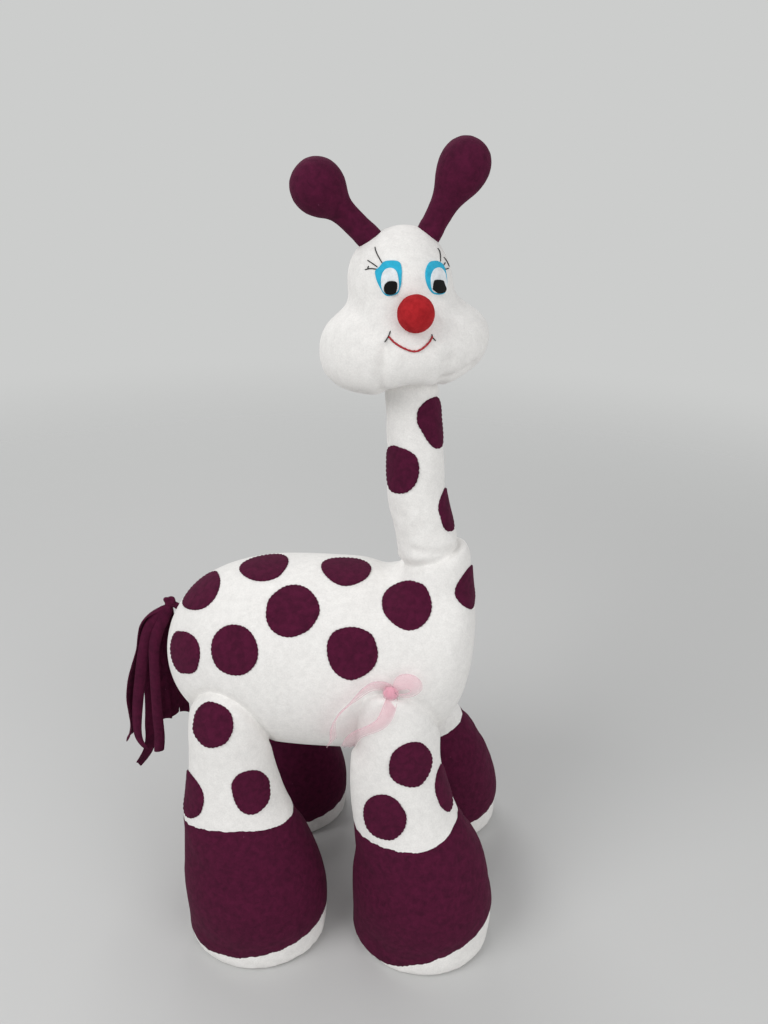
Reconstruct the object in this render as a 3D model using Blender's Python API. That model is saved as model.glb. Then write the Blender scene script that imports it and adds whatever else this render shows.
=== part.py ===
"""A stuffed fleece giraffe that stands on four legs, sewn from covers that each hold their stuffing.

+X is the way the giraffe faces, +Z is up, and its face is sewn on sideways, towards -Y.
Every seam that flexes is a ball in a shallow recess, so the pieces move without cutting each other.
"""

import math

import bmesh
import bpy
from mathutils import Matrix, Vector
from mathutils.bvhtree import BVHTree

# Cloth, felt and the clearance between touching pieces
FLEECE_THICKNESS = 0.002
FELT_THICKNESS = 0.0011
SPOT_THICKNESS = 0.0015
CLEARANCE = 0.0003
CUT_OVERRUN = 0.03
SHARP_ANGLE = 50.0

# Torso: a fat sausage that lies along X
TORSO_LENGTH = 0.306
TORSO_HEIGHT = 0.196
TORSO_WIDTH = 0.174
TORSO_MIDDLE_Z = 0.281
TORSO_SIDES = 16
# along the half length, size over the half height and width, rise over the half height
TORSO_ROW_SHARES = (
    (-0.945, 0.37, -0.03), (-0.82, 0.645, -0.02), (-0.64, 0.83, 0.0), (-0.38, 0.96, 0.0),
    (-0.08, 1.0, 0.0), (0.28, 0.99, 0.0), (0.55, 0.965, 0.01), (0.77, 0.87, 0.1),
    (0.90, 0.71, 0.23), (0.97, 0.46, 0.32),
)
TORSO_END_RISE_SHARES = (-0.04, 0.37)

# Neck: a tube that leans back as it rises, with a ball at each end
NECK_FOOT_X = 0.108
NECK_FOOT_Z = 0.389
NECK_FOOT_RADIUS = 0.0288
NECK_LENGTH = 0.158
NECK_LEAN = 0.0245
NECK_TOP_RADIUS = 0.0243
NECK_SIDES = 14
NECK_SOCKET_SIDES = 22
# rise over the neck's length, lean over its whole lean, radius over the foot's radius
NECK_ROW_SHARES = ((0.25, 0.44, 1.0), (0.43, 0.68, 0.97), (0.68, 0.76, 0.92))
NECK_END_ANGLES = (-62.0, -28.0)

# Head: a pear with full cheeks, turned a little forwards and tilted
HEAD_X = 0.0775
HEAD_FORWARD = 0.006
HEAD_BOTTOM_Z = 0.5485
HEAD_HEIGHT = 0.13
HEAD_WIDTH = 0.14
HEAD_DEPTH = 0.112
HEAD_TURN = 10.0
HEAD_TILT = 5.0
HEAD_SIDES = 18
# rise over the height, width over the half width, depth over the half depth
HEAD_ROW_SHARES = (
    (0.035, 0.5, 0.5), (0.115, 0.83, 0.76), (0.23, 0.985, 0.93), (0.35, 1.0, 1.0), (0.45, 0.88, 0.97),
    (0.55, 0.7, 0.91), (0.66, 0.64, 0.86), (0.78, 0.61, 0.8), (0.88, 0.51, 0.66), (0.96, 0.3, 0.4),
)

# Horns: a short stem with a round club
HORN_FOOT_RADIUS = 0.0125
HORN_CLUB_RADIUS = 0.0218
HORN_LENGTH = 0.055
HORN_SEAT_LIFT = 0.005
HORN_SIDES = 10
HORN_FOOT_ANGLES = (-50.0, -12.0)
HORN_CLUB_ANGLES = (-48.0, -12.0, 22.0, 56.0)
# rise over the length, radius over the foot's radius
HORN_STEM_SHARES = ((0.3, 0.95), (0.5, 1.12))
# place across the head over its half width, lean away from the head's own upright, length over
# the longest
HORN_PLACE_SHARES = (("left", -0.35, -42.5, 0.93), ("right", 0.34, 29.5, 0.84))

# Legs: a ball at the hip, then a leg that swells to a wide hoof with a flat sole
HIP_Z = 0.2255
HIP_Y = 0.0615
HIP_RADIUS = 0.0415
REAR_HIP_X = -0.078
FRONT_HIP_X = 0.084
SEAM_Z = 0.14
RIM_Z = 0.027
LEG_LENGTH = 0.143
LEG_WIDTH = 0.12
LEG_OUTER_Y = 0.142
TOE_REACH = 0.025
SOLE_ROUND = 0.006
LEG_SIDES = 12
HIP_DOME_ANGLES = (58.0, 28.0, 0.0)
# how far the room under a hip opens fore and aft for each metre down, so that the leg can swing
SWING_FLARE = 0.3
# height over the hip's height, length over the half length, width over the half width,
# outer side over its furthest reach, forward shift over the toe's reach
UPPER_LEG_SHARES = (
    (0.912, 0.575, 0.56, 0.735, 0.02), (0.72, 0.635, 0.61, 0.785, 0.2),
)
SEAM_SHARES = (0.725, 0.68, 0.84, 0.38)
HOOF_SHARES = (
    (0.47, 0.86, 0.86, 0.91, 0.66), (0.33, 0.965, 0.97, 0.98, 0.86), (0.21, 1.0, 1.0, 1.0, 1.0),
)
RIM_SHARES = (0.965, 0.97, 0.985, 1.0)
# how far each hoof stands ahead of the even stance, and out from it
FRONT_LEFT_LEAD = 0.014
REAR_SHIFT = 0.008
LEGS = (
    ("rear_right", REAR_HIP_X, -1, 0.0, REAR_SHIFT), ("front_right", FRONT_HIP_X, -1, 0.0, 0.0),
    ("rear_left", REAR_HIP_X, 1, 0.0, -REAR_SHIFT), ("front_left", FRONT_HIP_X, 1, FRONT_LEFT_LEAD, 0.0),
)

# Nose, eyes, lashes and mouth, placed across and up the face by hand as they are sewn
NOSE_RADIUS = 0.0143
NOSE_STAND = 0.008
NOSE_SIDES = 10
NOSE_ACROSS = 0.001
NOSE_RISE_SHARE = 0.567
# place across the head over its half width, and up it over its height
EYE_PLACE_SHARES = (("left", -0.233, 0.76), ("right", 0.279, 0.744))
# each felt layer's width and height, and how far its middle lies across and up from the eye's
EYE_LAYERS = (
    ("shadow", 0.0215, 0.029, 0.0, 0.0), ("white", 0.0125, 0.0225, 0.001, -0.0028),
    ("pupil", 0.0105, 0.0112, 0.0012, -0.0075),
)
LASH_THREAD_RADIUS = 0.0005
LASH_KNOT_RADIUS = 0.0009
# outwards and upwards from the eye's middle
LASH_ROOT = (0.0084, 0.0114)
LASH_TIPS = ((0.0066, 0.0186), (0.0138, 0.0146), (0.0152, 0.0086))
MOUTH_WIDTH = 0.0325
MOUTH_DROP = 0.0112
MOUTH_ACROSS = -0.0035
MOUTH_RISE_SHARE = 0.436
MOUTH_THREAD_RADIUS = 0.0008
MOUTH_POINTS = 9
# a corner stitch's two ends, outwards and upwards from the mouth's corner
CORNER_STITCH = ((-0.0008, 0.0036), (0.0032, -0.0042))

# Tail: a knot at the rump with fleece strips hanging from it
TAIL_RISE_SHARE = 0.41
KNOT_RADIUS = 0.0076
COLLAR_RADIUS = 0.0072
COLLAR_REACH = 0.0107
COLLAR_DROP = 0.0086
STRIP_WIDTH = 0.0115
STRIP_THICKNESS = 0.002
TAIL_LENGTH = 0.203
TAIL_SPREAD = 0.034
TAIL_FAN = 0.022
TAIL_DRIFT = 0.012
# sideways place over the fan, backward reach over the spread, length over the whole, drift to the
# front over the whole, and the turn of the strip's width from the way the giraffe faces
STRIP_SHARES = (
    (-0.8, 0.35, 0.84, 1.0, 30.0), (0.15, 0.62, 0.98, 0.3, 10.0), (0.9, 0.38, 0.88, 0.9, -35.0),
    (-0.5, 1.0, 0.92, 0.0, 55.0), (0.5, 0.82, 1.0, -0.3, 80.0),
)
STRIP_POINTS = 7
STRIP_TURN_SHARE = 0.4

# Ribbon bow on the flank, above the near front leg
BOW_X = 0.079
BOW_RISE_SHARE = 0.13
BOW_KNOT_RADIUS = 0.0042
BOW_LOOP_LENGTH = 0.027
BOW_LOOP_WIDTH = 0.017
BOW_LOOP_DEPTH = 0.009
BOW_LOOP_RISE = 18.0
BOW_LOOP_POINTS = 10
# where along its turn the loop leaves the knot and comes back
BOW_LOOP_ENDS = (0.08, 1.92)
RIBBON_WIDTH = 0.011
RIBBON_THICKNESS = 0.0008
RIBBON_STAND = 0.0032
# the point of a tail from which it hangs with its width along the flank
RIBBON_TWIST_POINT = 3
# each tail's points along and up from the knot
BOW_TAILS = (
    ((-0.0137, 0.0074), (-0.0278, 0.002), (-0.0428, -0.0135), (-0.0503, -0.0265), (-0.0534, -0.0408),
     (-0.055, -0.062)),
    ((-0.0085, -0.0145), (-0.0204, -0.0315), (-0.0335, -0.0475), (-0.0425, -0.061)),
)

# Spots of fleece sewn flat on the covers
PATCH_SIDES = 12
TORSO_SPOT_RADIUS = 0.0235
# place along the half length, degrees round from the back to the near side, size over the radius
TORSO_SPOT_SHARES = (
    (-0.721, 13.8, 1.0), (-0.33, 4.4, 1.0), (0.184, 6.2, 1.0), (-0.094, 36.1, 1.04), (0.577, 27.5, 0.98),
    (-0.775, 66.1, 0.92), (-0.425, 60.1, 0.95), (0.269, 57.6, 1.0), (0.955, 5.0, 0.95),
)
NECK_SPOT_SIZE = (0.035, 0.043)
# place up the neck, degrees round from the near side to the front
NECK_SPOT_SHARES = ((0.87, 48.0), (0.607, -40.0), (0.363, 72.0))
LEG_SPOT_SIZE = (0.04, 0.047)
# height over the hip's, degrees round from the outer side to the front
LEG_SPOT_SHARES = {
    "rear_right": ((1.07, -10.0), (0.747, -48.0), (0.806, 35.0)),
    "front_right": ((1.0, 20.4), (0.758, -10.0), (0.83, 78.0)),
}

WHITE_FLEECE = (0.82, 0.81, 0.79)
PLUM_FLEECE = (0.072, 0.010, 0.045)
RED_FLEECE = (0.36, 0.012, 0.017)
BLUE_FELT = (0.033, 0.46, 0.70)
WHITE_FELT = (0.74, 0.77, 0.80)
BLACK_FELT = (0.008, 0.008, 0.009)
BLACK_THREAD = (0.006, 0.006, 0.007)
RED_THREAD = (0.42, 0.020, 0.024)
PINK_ORGANZA = (0.86, 0.48, 0.55)
FIBRE_FILL = (0.86, 0.86, 0.84)
CLOTH_ROUGHNESS = 0.92
RIBBON_ROUGHNESS = 0.45

UP = Vector((0, 0, 1))


class Form:
    """A stuffed shape as rings of points, with a tip point at each end that is closed."""

    def __init__(self, rings, first=None, last=None):
        self.rings = rings
        self.first = first
        self.last = last

    def bmesh(self, inside_out=False):
        """The form's surface, open where it has no tip."""
        bm = bmesh.new()
        add_surface(bm, self, inside_out)
        return bm

    def normals(self):
        """The smooth outward direction at each ring point and at each tip."""
        bm = self.bmesh()
        bm.normal_update()
        bm.verts.ensure_lookup_table()
        sides = len(self.rings[0])
        found = [vert.normal.copy() for vert in bm.verts]
        bm.free()
        count = len(self.rings) * sides
        ring_normals = [found[start:start + sides] for start in range(0, count, sides)]
        tips = iter(found[count:])
        first = next(tips) if self.first else None
        last = next(tips) if self.last else None
        return ring_normals, first, last

    def moved(self, distance):
        """The same form, swollen by a distance, or shrunk by a negative one."""
        ring_normals, first, last = self.normals()
        rings = [
            [point + normal * distance for point, normal in zip(ring, normals)]
            for ring, normals in zip(self.rings, ring_normals)
        ]
        return Form(
            rings,
            self.first + first * distance if self.first else None,
            self.last + last * distance if self.last else None,
        )

    def thinned(self):
        """The same form with every second point around, and its open ends closed."""
        rings = [ring[::2] for ring in self.rings]
        return Form(rings, self.first or middle(rings[0]), self.last or middle(rings[-1]))

    def rows(self, start, stop):
        """A stretch of the form, which keeps a tip only where it reaches that end."""
        first = self.first if start == 0 else None
        last = self.last if stop == len(self.rings) else None
        return Form(self.rings[start:stop], first, last)

    def tree(self):
        """The surface as a tree to cast rays at."""
        bm = self.bmesh()
        bm.normal_update()
        tree = BVHTree.FromBMesh(bm)
        bm.free()
        return tree


def middle(points):
    """The mean of some points."""
    return sum(points, Vector()) / len(points)


def add_surface(bm, form, inside_out=False):
    """Adds a form's faces to a mesh and returns its rings of vertices.

    Each square is split the same way, so that layers of one form stay apart all over."""
    rows = [[bm.verts.new(point) for point in ring] for ring in form.rings]
    first = bm.verts.new(form.first) if form.first else None
    last = bm.verts.new(form.last) if form.last else None
    faces = []
    sides = len(rows[0])
    for low, high in zip(rows, rows[1:]):
        for i in range(sides):
            j = (i + 1) % sides
            faces.append((low[i], low[j], high[j]))
            faces.append((low[i], high[j], high[i]))
    for i in range(sides):
        j = (i + 1) % sides
        if first:
            faces.append((first, rows[0][j], rows[0][i]))
        if last:
            faces.append((rows[-1][i], rows[-1][j], last))
    for face in faces:
        bm.faces.new(face[::-1] if inside_out else face)
    return rows


def ring(centre, across, beside, half_across, half_beside, sides):
    """An ellipse of points that turns from one direction to the other."""
    points = []
    for i in range(sides):
        turn = 2 * math.pi * i / sides
        side = beside * (half_beside * math.sin(turn))
        points.append(centre + across * (half_across * math.cos(turn)) + side)
    return points


def ball_rings(centre, axis, across, radius, angles, sides):
    """Rings of a ball at the given degrees above its equator."""
    beside = axis.cross(across)
    rings = []
    for angle in angles:
        turn = math.radians(angle)
        reach = radius * math.cos(turn)
        rings.append(ring(centre + axis * (radius * math.sin(turn)), across, beside, reach, reach, sides))
    return rings


def finish(name, colour, roughness=CLOTH_ROUGHNESS):
    """A plain cloth material."""
    material = bpy.data.materials.new(name)
    material.use_nodes = True
    shader = material.node_tree.nodes["Principled BSDF"]
    shader.inputs["Base Color"].default_value = (*colour, 1.0)
    shader.inputs["Roughness"].default_value = roughness
    shader.inputs["Metallic"].default_value = 0.0
    return material


def new_collection(name):
    """A collection in the scene."""
    collection = bpy.data.collections.new(name)
    bpy.context.scene.collection.children.link(collection)
    return collection


def mesh_object(name, bm, collection):
    """Puts a bmesh in a new object."""
    mesh = bpy.data.meshes.new(name)
    bm.to_mesh(mesh)
    bm.free()
    obj = bpy.data.objects.new(name, mesh)
    collection.objects.link(obj)
    return obj


def add_part(name, bm, colour, body=None, roughness=CLOTH_ROUGHNESS):
    """A named piece with its own material, carried by its body's pivot."""
    obj = mesh_object(name, bm, PARTS)
    obj.data.shade_smooth()
    obj.data.set_sharp_from_angle(angle=math.radians(SHARP_ANGLE))
    obj.data.materials.append(finish(name, colour, roughness))
    if body:
        obj.parent = body
        obj.matrix_parent_inverse = body.matrix_world.inverted()
    return obj


def add_cutter(name, bm):
    """A shape that only cuts others."""
    obj = mesh_object(name, bm, CUTTERS)
    obj.display_type = "WIRE"
    obj.hide_render = True
    return obj


def cut(obj, cutter, operation="DIFFERENCE"):
    """Cuts, joins or trims an object by another, which stays editable."""
    modifier = obj.modifiers.new(f"{operation.lower()}_{cutter.name}", "BOOLEAN")
    modifier.operation = operation
    modifier.solver = "EXACT"
    modifier.object = cutter


def add_pivot(name, place, parent=None):
    """An empty on a seam's hinge, which carries the pieces that turn there."""
    empty = bpy.data.objects.new(name, None)
    PARTS.objects.link(empty)
    empty.empty_display_size = KNOT_RADIUS
    if parent:
        empty.parent = parent
        empty.matrix_parent_inverse = parent.matrix_world.inverted()
    empty.location = place
    bpy.context.view_layer.update()
    return empty


def shells_of(form, stretches):
    """Cloth shells of some stretches of a form: its surface, one cloth inwards, and their rims."""
    inner = form.moved(-FLEECE_THICKNESS)
    meshes = []
    for start, stop in stretches:
        bm = bmesh.new()
        outside = form.rows(start, stop)
        outer_rows = add_surface(bm, outside)
        inner_rows = add_surface(bm, inner.rows(start, stop), inside_out=True)
        sides = len(outer_rows[0])
        for i in range(sides):
            j = (i + 1) % sides
            if not outside.first:
                bm.faces.new((outer_rows[0][j], outer_rows[0][i], inner_rows[0][i], inner_rows[0][j]))
            if not outside.last:
                bm.faces.new((outer_rows[-1][i], outer_rows[-1][j], inner_rows[-1][j], inner_rows[-1][i]))
        meshes.append(bm)
    return meshes


def cover_mesh(form):
    """A cloth shell of a whole form."""
    return shells_of(form, ((0, len(form.rings)),))[0]


def stuffing_mesh(form):
    """The fill inside a cover, a clearance away from its cloth."""
    return form.moved(-FLEECE_THICKNESS - CLEARANCE).thinned().bmesh()


def socket_cutter(name, centre, radius, sides=14):
    """A ball whose flat faces stay a clearance outside the ball that it seats."""
    rows = sides // 2
    round_radius = (radius + CLEARANCE) / (math.cos(math.pi / sides) * math.cos(math.pi / (2 * rows)))
    bm = bmesh.new()
    bmesh.ops.create_uvsphere(
        bm, u_segments=sides, v_segments=rows, radius=round_radius, matrix=Matrix.Translation(centre)
    )
    return add_cutter(name, bm)


def guard_cutter(name, form, distance):
    """A form swollen by a distance, which trims what would crowd it."""
    return add_cutter(name, form.moved(distance).bmesh())


def rind_cutter(name, form, inside, outside):
    """The layer between two distances outside a form, for cloth that lies on it."""
    bm = form.moved(outside).bmesh()
    add_surface(bm, form.moved(inside), inside_out=True)
    return add_cutter(name, bm)


def facing(normal, upright):
    """A turned frame whose third direction leaves the surface and whose second points up it."""
    across = upright.cross(normal).normalized()
    return Matrix((across, normal.cross(across), normal)).transposed().to_4x4()


def patch_mesh(place, normal, upright, half_width, half_height):
    """A straight-sided oval punch through the surface at a place."""
    bm = bmesh.new()
    bmesh.ops.create_cone(
        bm, cap_ends=True, segments=PATCH_SIDES, radius1=1, radius2=1, depth=1,
        matrix=Matrix.Translation(place) @ facing(normal, upright)
        @ Matrix.Diagonal((half_width, half_height, CUT_OVERRUN, 1)),
    )
    return bm


def thread_mesh(points, radius, outward, sides=6):
    """A round thread through some points, with a direction that stays off its path."""
    rings = []
    for i, point in enumerate(points):
        ahead = (points[min(i + 1, len(points) - 1)] - points[max(i - 1, 0)]).normalized()
        across = ahead.cross(outward).normalized()
        rings.append(ring(point, across, ahead.cross(across), radius, radius, sides))
    return Form(rings, points[0], points[-1]).bmesh()


def band_mesh(points, widthways, width, thickness):
    """A flat band along some points, with the direction of its width at each."""
    rings = []
    for i, point in enumerate(points):
        ahead = (points[min(i + 1, len(points) - 1)] - points[max(i - 1, 0)]).normalized()
        side = (widthways[i] - ahead * widthways[i].dot(ahead)).normalized()
        thick = ahead.cross(side)
        half, deep = side * (width / 2), thick * (thickness / 2)
        rings.append([point + half + deep, point - half + deep, point - half - deep, point + half - deep])
    bm = bmesh.new()
    rows = add_surface(bm, Form(rings))
    bm.faces.new(rows[0][::-1])
    bm.faces.new(rows[-1])
    return bm


def torso_form():
    """The torso from rump to chest."""
    half_length, half_height, half_width = TORSO_LENGTH / 2, TORSO_HEIGHT / 2, TORSO_WIDTH / 2
    rings = []
    for along, size, rise in TORSO_ROW_SHARES:
        centre = Vector((along * half_length, 0, TORSO_MIDDLE_Z + rise * half_height))
        rings.append(ring(centre, Vector((0, 1, 0)), UP, size * half_width, size * half_height, TORSO_SIDES))
    low, high = (
        Vector((end * half_length, 0, TORSO_MIDDLE_Z + rise * half_height))
        for end, rise in zip((-1, 1), TORSO_END_RISE_SHARES)
    )
    return Form(rings, low, high)


def neck_ends():
    """The middles of the neck's two balls."""
    foot = Vector((NECK_FOOT_X, 0, NECK_FOOT_Z))
    return foot, foot + Vector((-NECK_LEAN, 0, NECK_LENGTH))


def neck_form():
    """The neck with its ball at the torso and its ball in the head, open at both tips."""
    foot, top = neck_ends()
    spine = [foot]
    radii = [NECK_FOOT_RADIUS]
    for rise, lean, size in NECK_ROW_SHARES:
        spine.append(foot + Vector((-NECK_LEAN * lean, 0, NECK_LENGTH * rise)))
        radii.append(NECK_FOOT_RADIUS * size)
    spine.append(top)
    radii.append(NECK_TOP_RADIUS)
    side = Vector((0, 1, 0))
    last = len(spine) - 1
    axes = [(spine[min(i + 1, last)] - spine[max(i - 1, 0)]).normalized() for i in range(len(spine))]
    rings = ball_rings(foot, axes[0], side, NECK_FOOT_RADIUS, NECK_END_ANGLES, NECK_SIDES)
    for point, axis, radius in zip(spine, axes, radii):
        rings.append(ring(point, side, axis.cross(side), radius, radius, NECK_SIDES))
    top_angles = [-angle for angle in reversed(NECK_END_ANGLES)]
    rings += ball_rings(top, axes[-1], side, NECK_TOP_RADIUS, top_angles, NECK_SIDES)
    return Form(rings)


def head_matrix():
    """From the head's own frame, face towards -Y and chin at its origin, to its place."""
    middle_rise = Matrix.Translation((0, 0, HEAD_HEIGHT / 2))
    turn = Matrix.Rotation(math.radians(HEAD_TURN), 4, "Z")
    tilt = Matrix.Rotation(math.radians(-HEAD_TILT), 4, "Y")
    place = Matrix.Translation((HEAD_X, -HEAD_FORWARD, HEAD_BOTTOM_Z))
    return place @ middle_rise @ turn @ tilt @ middle_rise.inverted()


def head_form():
    """The head from chin to crown."""
    to_place = head_matrix()
    rings = []
    for rise, wide, deep in HEAD_ROW_SHARES:
        centre = Vector((0, 0, rise * HEAD_HEIGHT))
        flat = ring(
            centre, Vector((1, 0, 0)), Vector((0, 1, 0)),
            wide * HEAD_WIDTH / 2, deep * HEAD_DEPTH / 2, HEAD_SIDES,
        )
        rings.append([to_place @ point for point in flat])
    return Form(rings, to_place @ Vector(), to_place @ Vector((0, 0, HEAD_HEIGHT)))


def horn_form(foot, axis, across, length):
    """One horn: ball foot, stem and club, open at its foot."""
    club = foot + axis * length
    rings = ball_rings(foot, axis, across, HORN_FOOT_RADIUS, HORN_FOOT_ANGLES, HORN_SIDES)
    beside = axis.cross(across)
    for rise, size in HORN_STEM_SHARES:
        reach = HORN_FOOT_RADIUS * size
        rings.append(ring(foot + axis * (length * rise), across, beside, reach, reach, HORN_SIDES))
    rings += ball_rings(club, axis, across, HORN_CLUB_RADIUS, HORN_CLUB_ANGLES, HORN_SIDES)
    return Form(rings, None, club + axis * HORN_CLUB_RADIUS)


def leg_ring(hip_x, side, lead, splay, height, shares):
    """A level ring of a leg at a height."""
    long_share, wide_share, outer_share, toe_share = shares
    half_width = LEG_WIDTH / 2 * wide_share
    centre = Vector((
        hip_x + (TOE_REACH + lead) * toe_share,
        side * (LEG_OUTER_Y * outer_share - half_width + splay * toe_share),
        height,
    ))
    half_length = LEG_LENGTH / 2 * long_share
    return ring(centre, Vector((1, 0, 0)), Vector((0, 1, 0)), half_length, half_width, LEG_SIDES)


def leg_form(hip_x, side, lead, splay):
    """A whole leg from its flat sole up to the dome of its hip, and where its seams part it."""
    def at(height, shares):
        return leg_ring(hip_x, side, lead, splay, height, shares)

    foot = [share * (1 - SOLE_ROUND / (LEG_WIDTH / 2)) for share in RIM_SHARES[:2]]
    outer = RIM_SHARES[2] * (1 - SOLE_ROUND / LEG_OUTER_Y)
    rings = [
        at(0, (*foot, outer, RIM_SHARES[3])),
        at(SOLE_ROUND, RIM_SHARES),
        at(RIM_Z - CLEARANCE / 2, RIM_SHARES),
        at(RIM_Z + CLEARANCE / 2, RIM_SHARES),
    ]
    for height, *shares in reversed(HOOF_SHARES):
        rings.append(at(HIP_Z * height, shares))
    rings.append(at(SEAM_Z - CLEARANCE / 2, SEAM_SHARES))
    seam = len(rings)
    rings.append(at(SEAM_Z + CLEARANCE / 2, SEAM_SHARES))
    for height, *shares in reversed(UPPER_LEG_SHARES):
        rings.append(at(HIP_Z * height, shares))
    hip = Vector((hip_x, side * HIP_Y, HIP_Z))
    rings += ball_rings(hip, UP, Vector((1, 0, 0)), HIP_RADIUS, sorted(HIP_DOME_ANGLES), LEG_SIDES)
    sole_middle = middle(rings[0])
    rim = 3
    stretches = ((0, rim), (rim, seam), (seam, len(rings)))
    return Form(rings, sole_middle, hip + UP * HIP_RADIUS), stretches


def swing_room(name, hip_x, side, lead, splay):
    """The room that a leg's top needs under its hip, open fore and aft so that it swings."""
    slack = 2 * CLEARANCE
    rings = []
    for height, long_share, wide_share, outer_share, toe_share in reversed(UPPER_LEG_SHARES):
        reach = slack + SWING_FLARE * HIP_Z * (1 - height)
        shares = (
            long_share + reach / (LEG_LENGTH / 2), wide_share + slack / (LEG_WIDTH / 2),
            outer_share + slack / LEG_OUTER_Y, toe_share,
        )
        rings.append(leg_ring(hip_x, side, lead, splay, HIP_Z * height, shares))
    hip = Vector((hip_x, side * HIP_Y, HIP_Z))
    radius = HIP_RADIUS + slack
    rings += ball_rings(hip, UP, Vector((1, 0, 0)), radius, (0.0,), LEG_SIDES)
    return add_cutter(f"{name}_room", Form(rings, middle(rings[0]), hip).bmesh())


def surface_at(tree, start, direction):
    """Where a ray meets a form, with the surface's direction there."""
    place, normal, _, _ = tree.ray_cast(start, direction)
    return place, normal


def add_patch(name, place, normal, upright, size, layer, colour, body=None):
    """A piece of cloth or felt that lies on a form: an oval punch kept only in the form's layer."""
    bm = patch_mesh(place, normal, upright, size[0] / 2, size[1] / 2)
    patch = add_part(name, bm, colour, body)
    cut(patch, layer, "INTERSECT")
    return patch


def add_joined(name, meshes, colour, body=None, roughness=CLOTH_ROUGHNESS):
    """One piece from shapes that run into each other."""
    piece = add_part(name, meshes[0], colour, body, roughness)
    for number, bm in enumerate(meshes[1:], 1):
        cut(piece, add_cutter(f"{name}_with_{number}", bm), "UNION")
    return piece


def ball_mesh(centre, axis, half_length, radius, sides=10):
    """A ball stretched along an axis."""
    bm = bmesh.new()
    frame = facing(axis, axis.orthogonal())
    bmesh.ops.create_uvsphere(
        bm, u_segments=sides, v_segments=sides // 2 + 1, radius=1,
        matrix=Matrix.Translation(centre) @ frame @ Matrix.Diagonal((radius, radius, half_length, 1)),
    )
    return bm


def build_torso(form, sockets):
    """The torso's cover and stuffing, with a recess at each seam that flexes."""
    cover = add_part("torso_cover", cover_mesh(form), WHITE_FLEECE)
    stuffing = add_part("torso_stuffing", stuffing_mesh(form), FIBRE_FILL)
    for cutter in sockets:
        cut(cover, cutter)
        cut(stuffing, cutter)


def build_neck(form, pivot):
    """The neck's cover and stuffing."""
    add_part("neck_cover", cover_mesh(form), WHITE_FLEECE, pivot)
    add_part("neck_stuffing", stuffing_mesh(form), FIBRE_FILL, pivot)


def build_horns(head_tree, to_head, head_pivot):
    """Both horns on their pivots, and the recess that each needs in the head."""
    turned = to_head.to_3x3()
    face_way = turned @ Vector((0, -1, 0))
    sockets = []
    for side, across_share, lean, length_share in HORN_PLACE_SHARES:
        above = to_head @ Vector((across_share * HEAD_WIDTH / 2, 0, HEAD_HEIGHT * 2))
        seat, normal = surface_at(head_tree, above, turned @ -UP)
        axis = Matrix.Rotation(math.radians(-lean), 3, face_way) @ (turned @ UP)
        foot = seat + normal * HORN_SEAT_LIFT
        sockets.append(socket_cutter(f"horn_{side}_socket", foot, HORN_FOOT_RADIUS, HORN_SIDES))
        pivot = add_pivot(f"horn_{side}_foot", foot, head_pivot)
        horn = horn_form(foot, axis, face_way, length_share * HORN_LENGTH)
        add_part(f"horn_{side}_cover", cover_mesh(horn), PLUM_FLEECE, pivot)
        add_part(f"horn_{side}_stuffing", stuffing_mesh(horn), FIBRE_FILL, pivot)
    return sockets


def build_head(form, pivot, sockets):
    """The head's cover and stuffing, cut where the neck and the horns sit."""
    cover = add_part("head_cover", cover_mesh(form), WHITE_FLEECE, pivot)
    stuffing = add_part("head_stuffing", stuffing_mesh(form), FIBRE_FILL, pivot)
    for cutter in sockets:
        cut(cover, cutter)
        cut(stuffing, cutter)


def face_point(tree, to_head, across, up):
    """Where the face is at a place across and up it, with its direction there."""
    turned = to_head.to_3x3()
    return surface_at(tree, to_head @ Vector((across, -HEAD_DEPTH, up)), turned @ Vector((0, 1, 0)))


def build_nose(form, tree, to_head, pivot):
    """A ball nose of cloth round its stuffing, flattened where it meets the face."""
    seat, _ = face_point(tree, to_head, NOSE_ACROSS, NOSE_RISE_SHARE * HEAD_HEIGHT)
    out = to_head.to_3x3() @ Vector((0, -1, 0))
    centre = seat + out * NOSE_STAND
    inside = NOSE_RADIUS - FLEECE_THICKNESS
    fill = inside - CLEARANCE
    against_face = guard_cutter("nose_seat", form, CLEARANCE)
    ball = ball_mesh(centre, out, NOSE_RADIUS, NOSE_RADIUS, NOSE_SIDES)
    cover = add_part("nose_cover", ball, RED_FLEECE, pivot)
    cut(cover, add_cutter("nose_hollow", ball_mesh(centre, out, inside, inside, NOSE_SIDES)))
    cut(cover, against_face)
    ball = ball_mesh(centre, out, fill, fill, NOSE_SIDES)
    stuffing = add_part("nose_stuffing", ball, FIBRE_FILL, pivot)
    cut(stuffing, against_face)


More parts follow.
